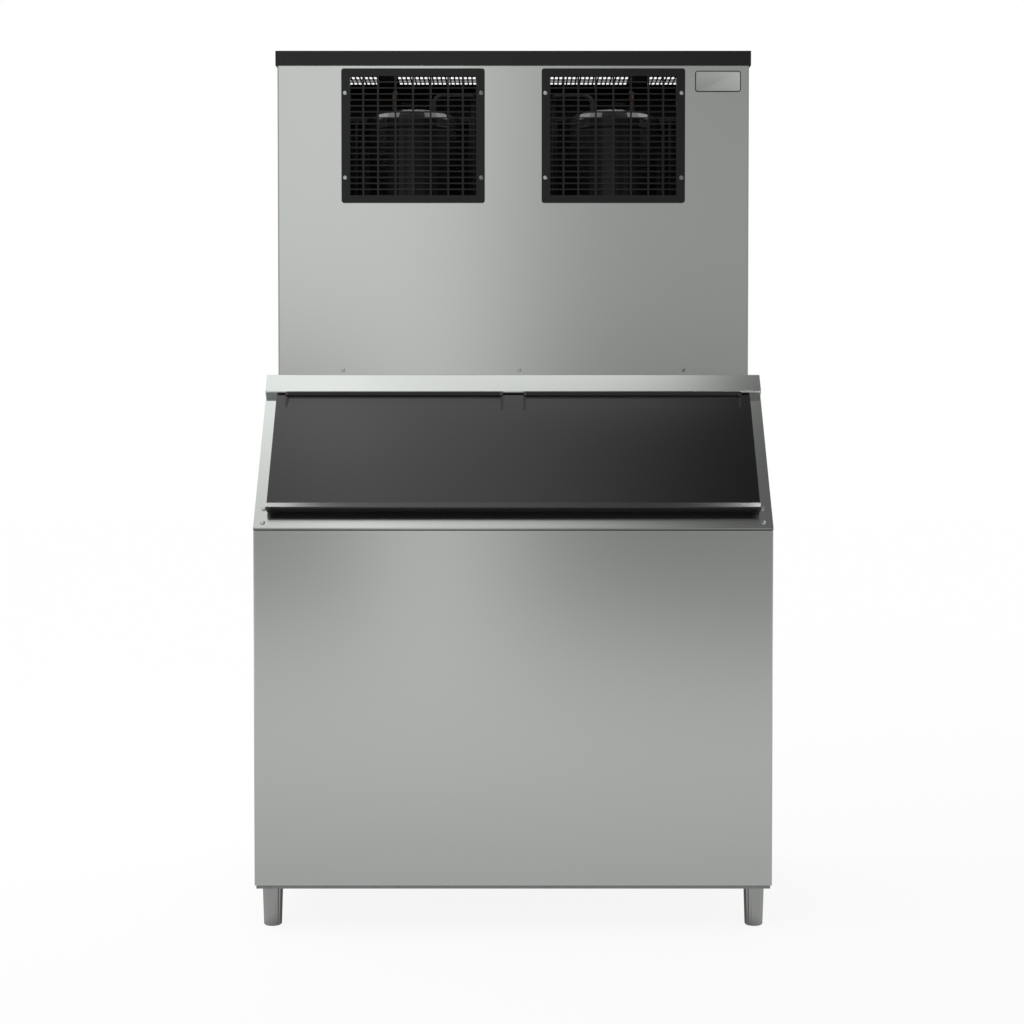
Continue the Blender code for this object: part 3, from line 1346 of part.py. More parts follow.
def make_rear_fittings(brass, plastic):
    """Water inlet, head drain and cable gland in the rear panel."""
    inner = HEAD_BACK_INNER
    proud = HEAD_REAR + FITTING_PROUD
    for name, (x, z, radius) in rear_fittings().items():
        bm = bmesh.new()
        bore = radius * 0.6
        flange = radius * 1.5
        profile = [
            (0.0, -2.0 * radius),
            (radius * 0.9, -2.0 * radius),
            (radius * 0.9, -WALL),
            (flange, -WALL),
            (flange, 0.0),
            (radius, 0.0),
            (radius, proud - inner),
            (bore, proud - inner),
            (bore, radius),
            (0.0, radius),
        ]
        turned(bm, profile, segments=16)
        place = Matrix.Translation((x, inner, z)) @ Matrix.Rotation(-math.pi / 2, 4, "X")
        add_object(bm, name, plastic if name == "cable_gland" else brass, place)


def main():
    clear_scene()
    steel = material("brushed_stainless", (0.42, 0.43, 0.42), 0.32, 1.0)
    galvanised = material("galvanised_steel", (0.35, 0.36, 0.36), 0.45, 1.0)
    black = material("black_plastic", (0.022, 0.022, 0.022), 0.45)
    door_black = material("door_plastic", (0.05, 0.05, 0.05), 0.30)
    white = material("liner_polyethylene", (0.75, 0.78, 0.78), 0.40)
    foam = material("insulating_foam", (0.70, 0.58, 0.32), 0.90)
    rubber = material("seal_rubber", (0.03, 0.03, 0.03), 0.70)
    leg_finish = material("leg_metal", (0.38, 0.38, 0.37), 0.40, 0.6)
    enamel = material("compressor_enamel", (0.010, 0.010, 0.011), 0.18)
    aluminium = material("fin_aluminium", (0.60, 0.61, 0.62), 0.40, 1.0)
    copper = material("copper_pipe", (0.60, 0.30, 0.18), 0.30, 1.0)
    brass = material("brass_fitting", (0.62, 0.47, 0.20), 0.32, 1.0)
    nickel = material("nickel_plate", (0.62, 0.60, 0.55), 0.25, 1.0)
    clear = material("curtain_plastic", (0.62, 0.70, 0.74), 0.30)

    make_base_frame(galvanised)
    for name, centre in leg_centres().items():
        make_leg(name, centre, leg_finish)
    make_bin_panels(steel)
    make_insulation(foam)
    make_liner(white)
    make_drain(brass)
    make_hood_frame(steel)
    make_top_rail(steel)
    make_throat(black)
    axis = make_hinge_axis()
    make_door_panel(axis, door_black)
    make_door_lip(axis, door_black)
    make_door_pan(axis, white)
    make_gasket(axis, rubber)
    make_hinges(axis, black, steel)

    make_head_panels(steel)
    make_top_cover(black)
    for name, centre in grille_centres():
        make_grille(name, centre, black)
    make_mech_deck(galvanised)
    for name, centre in machine_centres():
        make_compressor(name, centre, enamel)
        make_condenser(name, centre, aluminium)
        make_shroud(name, centre, galvanised)
        make_fan(name, centre, black)
        make_fan_motor(name, centre, enamel)
        make_evaporator(name, centre, nickel)
        make_curtain(name, centre, clear)
    make_pipes(copper)
    make_trough(clear)
    make_water_parts(black, white)
    make_control_box(galvanised)
    make_rear_fittings(brass, black)


if __name__ == "__main__":
    main()
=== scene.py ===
"""Looks of a modular ice machine: finishes, small hardware, floor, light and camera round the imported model.

Every size is in metres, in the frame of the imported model: X along the width, the front facing -Y, Z up.
"""

import json
import logging
import math
from dataclasses import dataclass, field, replace
from enum import Enum
from functools import cache

import bmesh
import bpy
from bmesh.types import BMesh, BMFace, BMVert
from bpy.types import Material, Node, NodeSocket, NodeTree
from mathutils import Matrix, Vector


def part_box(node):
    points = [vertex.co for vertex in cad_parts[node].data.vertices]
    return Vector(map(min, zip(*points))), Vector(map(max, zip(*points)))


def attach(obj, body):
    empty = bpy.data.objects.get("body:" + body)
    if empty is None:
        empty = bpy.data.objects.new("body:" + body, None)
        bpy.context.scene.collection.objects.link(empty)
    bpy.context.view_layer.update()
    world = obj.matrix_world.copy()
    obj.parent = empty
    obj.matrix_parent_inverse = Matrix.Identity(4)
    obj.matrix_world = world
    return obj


logging.basicConfig(level=logging.INFO, format="%(name)s: %(message)s")
log = logging.getLogger("ice_machine")

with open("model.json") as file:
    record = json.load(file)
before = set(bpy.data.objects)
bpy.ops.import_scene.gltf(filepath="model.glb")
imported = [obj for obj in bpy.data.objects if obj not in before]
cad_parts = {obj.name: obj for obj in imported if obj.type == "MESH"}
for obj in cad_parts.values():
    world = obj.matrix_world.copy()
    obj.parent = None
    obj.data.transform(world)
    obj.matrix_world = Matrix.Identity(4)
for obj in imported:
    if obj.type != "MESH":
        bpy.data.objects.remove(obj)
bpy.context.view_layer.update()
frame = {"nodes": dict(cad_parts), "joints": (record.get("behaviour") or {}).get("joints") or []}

SIDES = ("left", "right")
CABINET = "cabinet"
FRONTWARD = Vector((0, -1, 0))
REARWARD = Vector((0, 1, 0))

# The sRGB curve: where its straight foot ends, the foot's slope, and the offset and power above it.
SRGB_FOOT, SRGB_SLOPE, SRGB_OFFSET, SRGB_POWER = 0.04045, 12.92, 0.055, 2.4
# Sockets of a Mix node for colours: the factor, the two colours and the result.
MIX_FACTOR, MIX_FIRST, MIX_SECOND, MIX_RESULT = 0, 6, 7, 2
# Added to a grain direction, so that a face square to the grain still has a tangent.
GRAIN_SLANT = Vector((0.002, 0.002, 0.006))
# An edge that turns by more than this is drawn sharp.
SHARP_ANGLE = math.radians(35)
# Least part of a sloping face's normal that points up, and that points to the front.
LEAST_SLOPE = 0.3
# Screws in each row along a rear panel.
REAR_COLUMNS = 5
# Levels of a screw's dome: radius and rise, as shares of the head's radius and the dome's height.
DOME_LEVELS = ((1.0, 0.35), (0.86, 0.40), (0.62, 0.20), (0.40, 0.05))
# Left out of mirror images, because their doubles in the door and the trims hide the door's upper edge.
UNMIRRORED = ("hinge_sleeve_left", "hinge_sleeve_right", "hinge_pin_left", "hinge_pin_right", "hood_top_rail")

# Three measures, such as a place.
Triple = tuple[float, float, float]
# Pairs of numbers, such as places across a card and the brightness at each.
Profile = tuple[tuple[float, float], ...]


class Grain(Enum):
    """Direction in which a steel sheet was brushed."""

    ACROSS = (1.0, 0.0, 0.0)
    DEPTH = (0.0, 1.0, 0.0)


class Way(Enum):
    """World axis that a studio card's brightness runs along."""

    X = "X"
    Y = "Y"
    Z = "Z"


def linear(colour: str) -> tuple[float, float, float, float]:
    """Turns an sRGB hex colour into linear RGBA.

    Args:
        colour: Six hex digits, with or without a leading hash.

    Returns:
        The linear red, green and blue, with an alpha of one.
    """
    digits = colour.lstrip("#")
    made = []
    for place in (0, 2, 4):
        value = int(digits[place : place + 2], 16) / 255
        if value <= SRGB_FOOT:
            made.append(value / SRGB_SLOPE)
        else:
            made.append(((value + SRGB_OFFSET) / (1 + SRGB_OFFSET)) ** SRGB_POWER)
    return (made[0], made[1], made[2], 1.0)


def add_node(
    tree: NodeTree, kind: str, values: dict | None = None, links: dict | None = None, **settings: object
) -> Node:
    """Adds a shader node.

    Args:
        tree: Node tree that gets the node.
        kind: Its type name, without the prefix ShaderNode.
        values: Input socket name or number, and the value it is set to.
        links: Input socket name or number, and the output socket it is linked from.
        **settings: Properties of the node itself.

    Returns:
        The new node.
    """
    node = tree.nodes.new(f"ShaderNode{kind}")
    for name, value in settings.items():
        setattr(node, name, value)
    for name, value in (values or {}).items():
        node.inputs[name].default_value = value
    for name, socket in (links or {}).items():
        tree.links.new(socket, node.inputs[name])
    return node


@dataclass(frozen=True)
class Finish:
    """A finish with an even colour, slightly varied, and a fine surface.

    Attributes:
        name: Common name of the material and how its surface was made.
        colour: sRGB hex colour.
        roughness: Microfacet roughness.
        metallic: One for bare metal, zero for anything else.
        ior: Index of refraction, which a metal leaves alone.
        grit: Size of the surface's texture, in metres, drawn coarse enough to show.
        relief: Height of that texture, in metres.
        mottle: How much the colour and roughness vary from place to place.
        transmission: Share of light that passes through.
        gloss: Specular level, one half for the plain reflection of the index of refraction.
        patches: Uneven patches per metre.
    """

    name: str
    colour: str
    roughness: float
    metallic: float = 0.0
    ior: float = 1.5
    grit: float = 0.0012
    relief: float = 0.00002
    mottle: float = 0.06
    transmission: float = 0.0
    gloss: float = 0.5
    patches: float = 7.0

    @cache
    def made(self) -> Material:
        """Builds the material once, for every piece that shares it.

        Returns:
            The material, its pattern on object coordinates.
        """
        made = bpy.data.materials.new(self.name)
        made.use_nodes = True
        shader = made.node_tree.nodes["Principled BSDF"]
        shader.inputs["Metallic"].default_value = self.metallic
        shader.inputs["Transmission Weight"].default_value = self.transmission
        if not self.metallic:
            shader.inputs["IOR"].default_value = self.ior
            shader.inputs["Specular IOR Level"].default_value = self.gloss
        self.pattern(shader)
        return made

    def dress(self, *nodes: str) -> None:
        """Gives CAD nodes this finish.

        Args:
            *nodes: Names of the nodes.
        """
        for name in nodes:
            mesh = frame["nodes"][name].data
            mesh.materials.clear()
            mesh.materials.append(self.made())
            log.info("%s dressed in %s", name, self.name)

    def pattern(self, shader: Node) -> None:
        """Varies colour and roughness by a broad noise and adds a fine relief.

        Args:
            shader: The Principled shader.
        """
        tree = shader.id_data
        place = add_node(tree, "TexCoord").outputs["Object"]
        for scale, detail, use in ((self.patches, 4.0, self.spread), (1 / self.grit, 2.0, self.emboss)):
            values = {"Scale": scale, "Detail": detail}
            use(shader, add_node(tree, "TexNoise", values, {"Vector": place}).outputs["Fac"])

    def spread(self, shader: Node, factor: NodeSocket) -> None:
        """Lets a noise move the colour and the roughness a little either way.

        Args:
            shader: The Principled shader.
            factor: Output socket of the noise.
        """
        tree = shader.id_data
        red, green, blue, _ = linear(self.colour)
        less, more = 1 - self.mottle, 1 + self.mottle
        shades = {
            MIX_FIRST: (red * less, green * less, blue * less, 1.0),
            MIX_SECOND: (red * more, green * more, blue * more, 1.0),
        }
        colour = add_node(tree, "Mix", shades, {MIX_FACTOR: factor}, data_type="RGBA")
        tree.links.new(colour.outputs[MIX_RESULT], shader.inputs["Base Color"])
        ends = {"To Min": self.roughness * less, "To Max": self.roughness * more}
        rough = add_node(tree, "MapRange", ends, {"Value": factor})
        tree.links.new(rough.outputs["Result"], shader.inputs["Roughness"])

    def emboss(self, shader: Node, height: NodeSocket) -> None:
        """Raises the surface by a texture.

        Args:
            shader: The Principled shader.
            height: Output socket of the texture.
        """
        tree = shader.id_data
        bump = add_node(tree, "Bump", {"Distance": self.relief}, {"Height": height})
        tree.links.new(bump.outputs["Normal"], shader.inputs["Normal"])


@dataclass(frozen=True)
class BrushedSteel(Finish):
    """Stainless sheet brushed along one direction.

    Attributes:
        grain: Direction of the brushing.
        line: Spacing of the grain lines, in metres, drawn coarse enough to show.
        lines_along: Changes per metre along a grain line.
        spread_across: Anisotropy, which widens highlights across the grain.
    """

    patches: float = 1.6
    grain: Grain = Grain.ACROSS
    line: float = 0.0016
    lines_along: float = 2.2
    spread_across: float = 0.55

    def pattern(self, shader: Node) -> None:
        """Draws long thin grain lines and turns the highlight across them.

        Args:
            shader: The Principled shader.
        """
        tree = shader.id_data
        place = add_node(tree, "TexCoord").outputs["Object"]
        across = 1 / self.line
        along = Vector(self.grain.value)
        scale = Vector((across, across, across)) - along * (across - self.lines_along)
        stretched = add_node(tree, "Mapping", {"Scale": scale}, {"Vector": place}).outputs["Vector"]
        lines = add_node(tree, "TexNoise", {"Scale": 1.0, "Detail": 3.0}, {"Vector": stretched})
        patches = {"Scale": self.patches, "Detail": 2.0}
        broad = add_node(tree, "TexNoise", patches, {"Vector": place})
        noises = {0: lines.outputs["Fac"], 1: broad.outputs["Fac"]}
        total = add_node(tree, "Math", None, noises, operation="ADD")
        mean = add_node(tree, "Math", {1: 0.5}, {0: total.outputs[0]}, operation="MULTIPLY")
        self.spread(shader, mean.outputs[0])
        self.emboss(shader, lines.outputs["Fac"])
        shader.inputs["Anisotropic"].default_value = self.spread_across
        normal = add_node(tree, "NewGeometry").outputs["Normal"]
        slanted = tuple(along + GRAIN_SLANT)
        turn = add_node(tree, "VectorMath", {1: slanted}, {0: normal}, operation="CROSS_PRODUCT")
        tree.links.new(turn.outputs["Vector"], shader.inputs["Tangent"])


@dataclass(frozen=True)
class SteelWithPaintedShade(BrushedSteel):
    """Brushed stainless sheet whose inner face, towards the front, is painted matt black as painted shade.

    Attributes:
        painted_shade: sRGB hex colour of the black painted shade on the inner face.
        painted_shade_roughness: Its microfacet roughness.
        painted_shade_until: Y of the surface's normal up to which the painted shade reaches.
        bare_from: Y of the surface's normal from which the steel is bare.
    """

    painted_shade: str = "#050505"
    painted_shade_roughness: float = 0.85
    painted_shade_until: float = -0.6
    bare_from: float = -0.4

    def pattern(self, shader: Node) -> None:
        """Brushes the outside and blackens the face that looks to the front, as painted shade.

        Args:
            shader: The Principled shader.
        """
        super().pattern(shader)
        tree = shader.id_data
        brushed = shader.inputs["Base Color"].links[0].from_socket
        normal = add_node(tree, "NewGeometry").outputs["Normal"]
        facing = add_node(tree, "SeparateXYZ", None, {"Vector": normal}).outputs["Y"]
        turn = {"From Min": self.painted_shade_until, "From Max": self.bare_from}
        bare = add_node(tree, "MapRange", turn, {"Value": facing}).outputs["Result"]
        # Painted shade: black mixed into the colour on the faces that look to the front.
        mixed = {MIX_FACTOR: bare, MIX_SECOND: brushed}
        colour = add_node(tree, "Mix", {MIX_FIRST: linear(self.painted_shade)}, mixed, data_type="RGBA")
        tree.links.new(colour.outputs[MIX_RESULT], shader.inputs["Base Color"])
        tree.links.new(bare, shader.inputs["Metallic"])
        ends = {"To Min": self.painted_shade_roughness, "To Max": self.roughness}
        rough = add_node(tree, "MapRange", ends, {"Value": bare})
        tree.links.new(rough.outputs["Result"], shader.inputs["Roughness"])


@dataclass(frozen=True)
class Galvanised(Finish):
    """Hot-dipped zinc sheet with its crystal pattern.

    Attributes:
        crystal: Width of a zinc crystal, in metres.
    """

    crystal: float = 0.0125

    def pattern(self, shader: Node) -> None:
        """Draws the zinc crystals, each in its own grey.

        Args:
            shader: The Principled shader.
        """
        tree = shader.id_data
        place = add_node(tree, "TexCoord").outputs["Object"]
        crystals = add_node(tree, "TexVoronoi", {"Scale": 1 / self.crystal}, {"Vector": place})
        grey = add_node(tree, "RGBToBW", None, {"Color": crystals.outputs["Color"]})
        self.spread(shader, grey.outputs["Val"])


# Brushed stainless sheet: fine even lines, a highlight drawn out across them.
STEEL = BrushedSteel("brushed stainless steel", "#AFB2AF", 0.19, 1.0, relief=0.000006, mottle=0.035)
# The same sheet with its lines running from front to back.
SIDE_STEEL = replace(STEEL, name="brushed stainless steel sides", grain=Grain.DEPTH)
# The same sheet with its inner face painted matt black, as painted shade that keeps the space behind the
# grilles dark.
STEEL_WITH_PAINTED_SHADE = SteelWithPaintedShade(
    "brushed stainless steel, painted shade inside",
    STEEL.colour, STEEL.roughness, STEEL.metallic, relief=STEEL.relief, mottle=STEEL.mottle,
)
# Galvanised sheet: dull grey with faint crystals.
ZINC = Galvanised("galvanised sheet steel", "#A3A7A8", 0.42, 1.0, mottle=0.22)
# Galvanised base pan: darker as painted shade for the shade under the bin, duller, its crystals fainter.
SHADED_BASE_ZINC = Galvanised("galvanised base pan, darkened as painted shade", "#858888", 0.5, 1.0, mottle=0.12)
# Black paint on sheet steel: nearly matt, with hardly a reflection.
SHROUD_PAINT = Finish("black-painted sheet steel", "#080808", 0.55, gloss=0.12)
# Foam sleeve: matt black without a highlight.
PIPE_SLEEVE = Finish("foam pipe sleeve", "#0A0A0A", 0.8, gloss=0.12)
# Moulded ABS: black and satin, with a fine spark texture.
COVER_ABS = Finish("moulded ABS cover", "#131413", 0.42, ior=1.53, relief=0.00003, gloss=0.25)
# The grilles' ABS: a little darker and smoother than the cover's.
GRILLE_ABS = Finish("moulded ABS grille", "#111211", 0.38, ior=1.53, relief=0.00002, gloss=0.22)
# Unseen ABS mouldings: black with a plain soft highlight.
INNER_ABS = Finish("moulded ABS inner part", "#121313", 0.36, ior=1.53)
# ABS of the doorway: dark grey and satin, lighter than the door.
THROAT_ABS = Finish("grey moulded ABS doorway", "#3C3D3D", 0.45, ior=1.53)
# Pressed polycarbonate: nearly black, smoother, so that it mirrors the light above softly.
DOOR_PLASTIC = Finish(
    "moulded polycarbonate door", "#121212", 0.17, ior=1.585, gloss=0.40, relief=0.000006, mottle=0.03
)
# Polished polycarbonate: lighter than the door, with the sharpest highlights of the plastics.
LIP_PLASTIC = Finish("polished polycarbonate lip", "#232323", 0.14, ior=1.585, relief=0.000004, mottle=0.03)
# Rotationally moulded polyethylene: white and waxy.
LINER_PE = Finish("moulded polyethylene", "#E6E9E7", 0.40, ior=1.51, grit=0.004, relief=0.00008)
# Cut polyurethane foam: pale yellow and matt, with coarse cells.
FOAM = Finish("cut polyurethane foam", "#D9C08A", 0.92, grit=0.003, relief=0.0006, mottle=0.12)
# Extruded rubber: nearly black and matt.
RUBBER = Finish("extruded EPDM rubber", "#1C1C1C", 0.72, ior=1.52, relief=0.00005)
# Satin nickel-plated steel tube: grey, soft highlights down the flutes.
LEG_METAL = Finish("satin plated steel leg", "#9B9D9A", 0.24, 1.0, relief=0.00001)
# Baked enamel: deep black under a hard gloss.
ENAMEL = Finish("baked black enamel", "#050506", 0.22, grit=0.003, relief=0.00002, gloss=0.2)
# Coated aluminium fins: matt black.
FIN_METAL = Finish("black-coated aluminium fins", "#0A0A0A", 0.50, gloss=0.12, mottle=0.10)
# Tarnished copper tube, darkened further to near black as painted shade, with a dull glint.
COPPER = Finish("tarnished copper tube, darkened as painted shade", "#211813", 0.45, 1.0, mottle=0.12)
# Turned brass: yellow with clear highlights.
BRASS = Finish("turned brass", "#C9A45C", 0.30, 1.0)
# Nickel plating: a warm bright grey.
NICKEL = Finish("nickel plating", "#C9C6BC", 0.26, 1.0)
# Translucent polypropylene: milky, letting half of the light through.
CLEAR_PLASTIC = Finish("translucent polypropylene", "#DDE6EA", 0.25, ior=1.49, transmission=0.55)
# Zinc-plated screws: light grey, softly bright.
SCREW_STEEL = Finish("zinc-plated screw", "#AAACAA", 0.36, 1.0, grit=0.0004, relief=0.000004)
# Brushed badge plate: duller than the sheet, its lines closer together.
BADGE_FACE = BrushedSteel("brushed badge plate", "#BCBEBC", 0.36, 1.0, line=0.0008, mottle=0.04)
# Painted rim: dark grey and satin.
BADGE_RIM = Finish("painted badge rim", "#2E302F", 0.35)


def add_piece(bm: BMesh, name: str, body: str, finishes: list[Finish]) -> None:
    """Turns a bmesh into a piece that rides on a body.

    Args:
        bm: The shape, already in place.
        name: Name of the piece.
        body: CAD body that it moves with.
        finishes: Its finishes, in the order of the faces' material numbers.
    """
    bmesh.ops.recalc_face_normals(bm, faces=bm.faces)
    mesh = bpy.data.meshes.new(name)
    bm.to_mesh(mesh)
    bm.free()
    mesh.shade_smooth()
    mesh.set_sharp_from_angle(angle=SHARP_ANGLE)
    for finish in finishes:
        mesh.materials.append(finish.made())
    piece = bpy.data.objects.new(name, mesh)
    bpy.context.scene.collection.objects.link(piece)
    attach(piece, body)
    log.info("%s: %d faces on %s", name, len(mesh.polygons), body)


def extruded(bm: BMesh, faces: list[BMFace]) -> tuple[list[BMVert], list[BMFace]]:
    """Extrudes faces where they are, for the caller to move.

    Args:
        bm: Mesh that holds the faces.
        faces: The faces.

    Returns:
        The new vertices and the new faces.
    """
    grown = bmesh.ops.extrude_face_region(bm, geom=faces)["geom"]
    verts = [item for item in grown if isinstance(item, BMVert)]
    return verts, [item for item in grown if isinstance(item, BMFace)]


def sloping_face(node: str) -> tuple[Vector, Vector, Vector]:
    """Finds the largest face of a piece that looks forward and up.

    Args:
        node: Name of the CAD piece.

    Returns:
        The face's middle, the direction up the slope and the direction out of it.
    """
    bm = bmesh.new()
    bm.from_mesh(frame["nodes"][node].data)
    faces = [face for face in bm.faces if min(face.normal.z, -face.normal.y) > LEAST_SLOPE]
    widest = max(faces, key=lambda face: face.calc_area())
    middle, out = widest.calc_center_median(), widest.normal.copy()
    bm.free()
    return middle, Vector((0, out.z, -out.y)).normalized(), out


def rear_screw_spots(box: tuple[Vector, Vector], margins: Triple, sunk: float = 0.0) -> list[Vector]:
    """Spaces screws evenly along the lower and the upper edge of a rear panel.

    Args:
        box: The panel's lowest and highest corner.
        margins: Distances of the screws from the panel's sides, its foot and its top.
        sunk: How far the screws sit in the panel.

    Returns:
        Foot of each screw's head.
    """
    low, high = box
    side, foot, top = margins
    step = (high.x - low.x - 2 * side) / (REAR_COLUMNS - 1)
    columns = [low.x + side + i * step for i in range(REAR_COLUMNS)]
    return [Vector((x, high.y - sunk, z)) for x in columns for z in (low.z + foot, high.z - top)]


@dataclass
class ScrewSet:
    """Pan-head screws with a cross recess, all of one size.

    Attributes:
        radius: Radius of the head.
        height: Height of the dome.
        sides: Sides of the head's outline.
        recess: Depth of the cross, as a share of the height.
        waist: How far the cross's inner corners are drawn in, as a share of their distance.
        turn: Turn from one screw to the next, in degrees.
    """

    radius: float = 0.0052
    height: float = 0.0022
    sides: int = 16
    recess: float = 0.45
    waist: float = 0.55
    turn: float = 23.0

    def head(self, bm: BMesh, place: Matrix) -> None:
        """Adds one head: a disc with a domed top, its cross pressed into it.

        Args:
            bm: Mesh that gets the head.
            place: Where it sits, its local Z pointing out of the surface.
        """
        made = bmesh.ops.create_circle(bm, cap_ends=True, segments=self.sides, radius=self.radius)
        verts = set(made["verts"])
        faces = list({face for vert in made["verts"] for face in vert.link_faces})
        for share, rise in DOME_LEVELS:
            moved, faces = extruded(bm, faces)
            middle = sum((vert.co for vert in moved), Vector()) / len(moved)
            wide = max((vert.co - middle).length for vert in moved)
            scale = Vector((share, share, 1.0)) * (self.radius / wide)
            bmesh.ops.scale(bm, vec=scale, verts=moved, space=Matrix.Translation(-middle))
            bmesh.ops.translate(bm, vec=(0, 0, self.height * rise), verts=moved)
            verts |= set(moved)
        self.press_cross(verts)
        bmesh.ops.transform(bm, matrix=place, verts=list(verts))

    def press_cross(self, verts: set[BMVert]) -> None:
        """Presses a cross recess down into the top of the head.

        Args:
            verts: The head's vertices.
        """
        top = max(vert.co.z for vert in verts)
        ring = [vert for vert in verts if vert.co.z > top - 1e-7]
        ring.sort(key=lambda vert: math.atan2(vert.co.y, vert.co.x))
        for i, vert in enumerate(ring):
            if i % 4 in (0, 1):
                vert.co.z -= self.height * self.recess
            else:
                vert.co.x *= self.waist
                vert.co.y *= self.waist

    def place_all(self, name: str, spots: list[Vector], out: Vector) -> None:
        """Makes one piece of all the screws on one surface of the cabinet.

        Args:
            name: Name of the piece.
            spots: Foot of each head.
            out: Direction out of the surface.
        """
        bm = bmesh.new()
        facing = out.to_track_quat("Z", "Y").to_matrix().to_4x4()
        for i, spot in enumerate(spots):
            spin = Matrix.Rotation(math.radians(self.turn * i), 4, "Z")
            self.head(bm, Matrix.Translation(spot) @ facing @ spin)
        add_piece(bm, name, CABINET, [SCREW_STEEL])


@dataclass
class SeamBead:
    """Dark bead in the seam between the hood's folded nose and the front panel.

    Attributes:
        height: Height of the seam that it fills.
        depth: How far it reaches back into the seam.
        inset: How far it sits behind the front.
        end_gap: Bare length at either end.
        sides: Sides of its section.
    """

    height: float = 0.0030
    depth: float = 0.0008
    inset: float = 0.0003
    end_gap: float = 0.0030
    sides: int = 8

    def build(self) -> None:
        """Draws the bead along the top of the front panel."""
        low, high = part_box("bin_front_panel")
        bm = bmesh.new()
        half = (high.x - low.x) / 2 - self.end_gap
        start = Vector((-half, low.y + self.inset + self.depth / 2, high.z + self.height / 2))
        turn = Matrix.Rotation(math.radians(90), 4, "Y")
        squash = Matrix.Diagonal((self.height / self.depth, 1.0, 1.0, 1.0))
        place = Matrix.Translation(start) @ turn @ squash
        radius = self.depth / 2
        ring = bmesh.ops.create_circle(bm, cap_ends=True, segments=self.sides, radius=radius, matrix=place)
        verts, _ = extruded(bm, list({face for vert in ring["verts"] for face in vert.link_faces}))
        bmesh.ops.translate(bm, vec=(2 * half, 0, 0), verts=verts)
        add_piece(bm, "front_seam_bead", CABINET, [RUBBER])


@dataclass
class StorageBin:
    """The insulated bin, its hood and its legs.

    Attributes:
        trim_screw_x: Distance of the trim screws from the middle.
        trim_screw_rise: How far up the hood's slope each trim screw sits.
        trim_screws: The trim screws' size.
        rear_margins: Distances of the rear screws from their panel's sides, its foot and its top.
        rear_screws: The rear screws' size.
        bead: The bead in its front seam.
    """

    trim_screw_x: float = 0.5887
    trim_screw_rise: tuple[float, ...] = (0.0151, 0.0554)
    trim_screws: ScrewSet = field(default_factory=lambda: ScrewSet(0.0056, 0.0036))
    rear_margins: Triple = (0.02, 0.02, 0.02)
    rear_screws: ScrewSet = field(default_factory=lambda: ScrewSet(0.0040, 0.0003))
    bead: SeamBead = field(default_factory=SeamBead)

    def dress(self) -> None:
        """Gives the bin's pieces their finishes."""
        STEEL.dress("bin_front_panel", "bin_rear_panel", "bin_top_deck", "hood_frame", "hood_top_rail")
        SIDE_STEEL.dress("bin_side_left", "bin_side_right")
        SHADED_BASE_ZINC.dress("bin_base_frame")
        LINER_PE.dress("bin_liner")
        FOAM.dress("bin_insulation")
        THROAT_ABS.dress("door_throat")
        BRASS.dress("bin_drain")
        LEG_METAL.dress("leg_front_left", "leg_front_right", "leg_rear_left", "leg_rear_right")

    def hood_slope(self) -> tuple[Vector, Vector, Vector]:
        """Finds the hood's face.

        Returns:
            The middle of its lower edge, the direction up the slope and the direction out of it.
        """
        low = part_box("hood_frame")[0]
        on_face, up, out = sloping_face("hood_frame")
        edge = on_face - up * ((on_face.y - low.y) / up.y)
        return Vector((0, edge.y, edge.z)), up, out

    def build(self) -> None:
        """Adds the small screws and the bead in the seam."""
        self.dress()
        self.bead.build()
        edge, up, out = self.hood_slope()
        spots = [
            edge + up * rise + Vector((side * self.trim_screw_x, 0, 0))
            for side in (-1, 1)
            for rise in self.trim_screw_rise
        ]
        self.trim_screws.place_all("hood_trim_screws", spots, out)
        spots = rear_screw_spots(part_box("bin_rear_panel"), self.rear_margins, self.rear_screws.height)
        self.rear_screws.place_all("bin_rear_screws", spots, REARWARD)


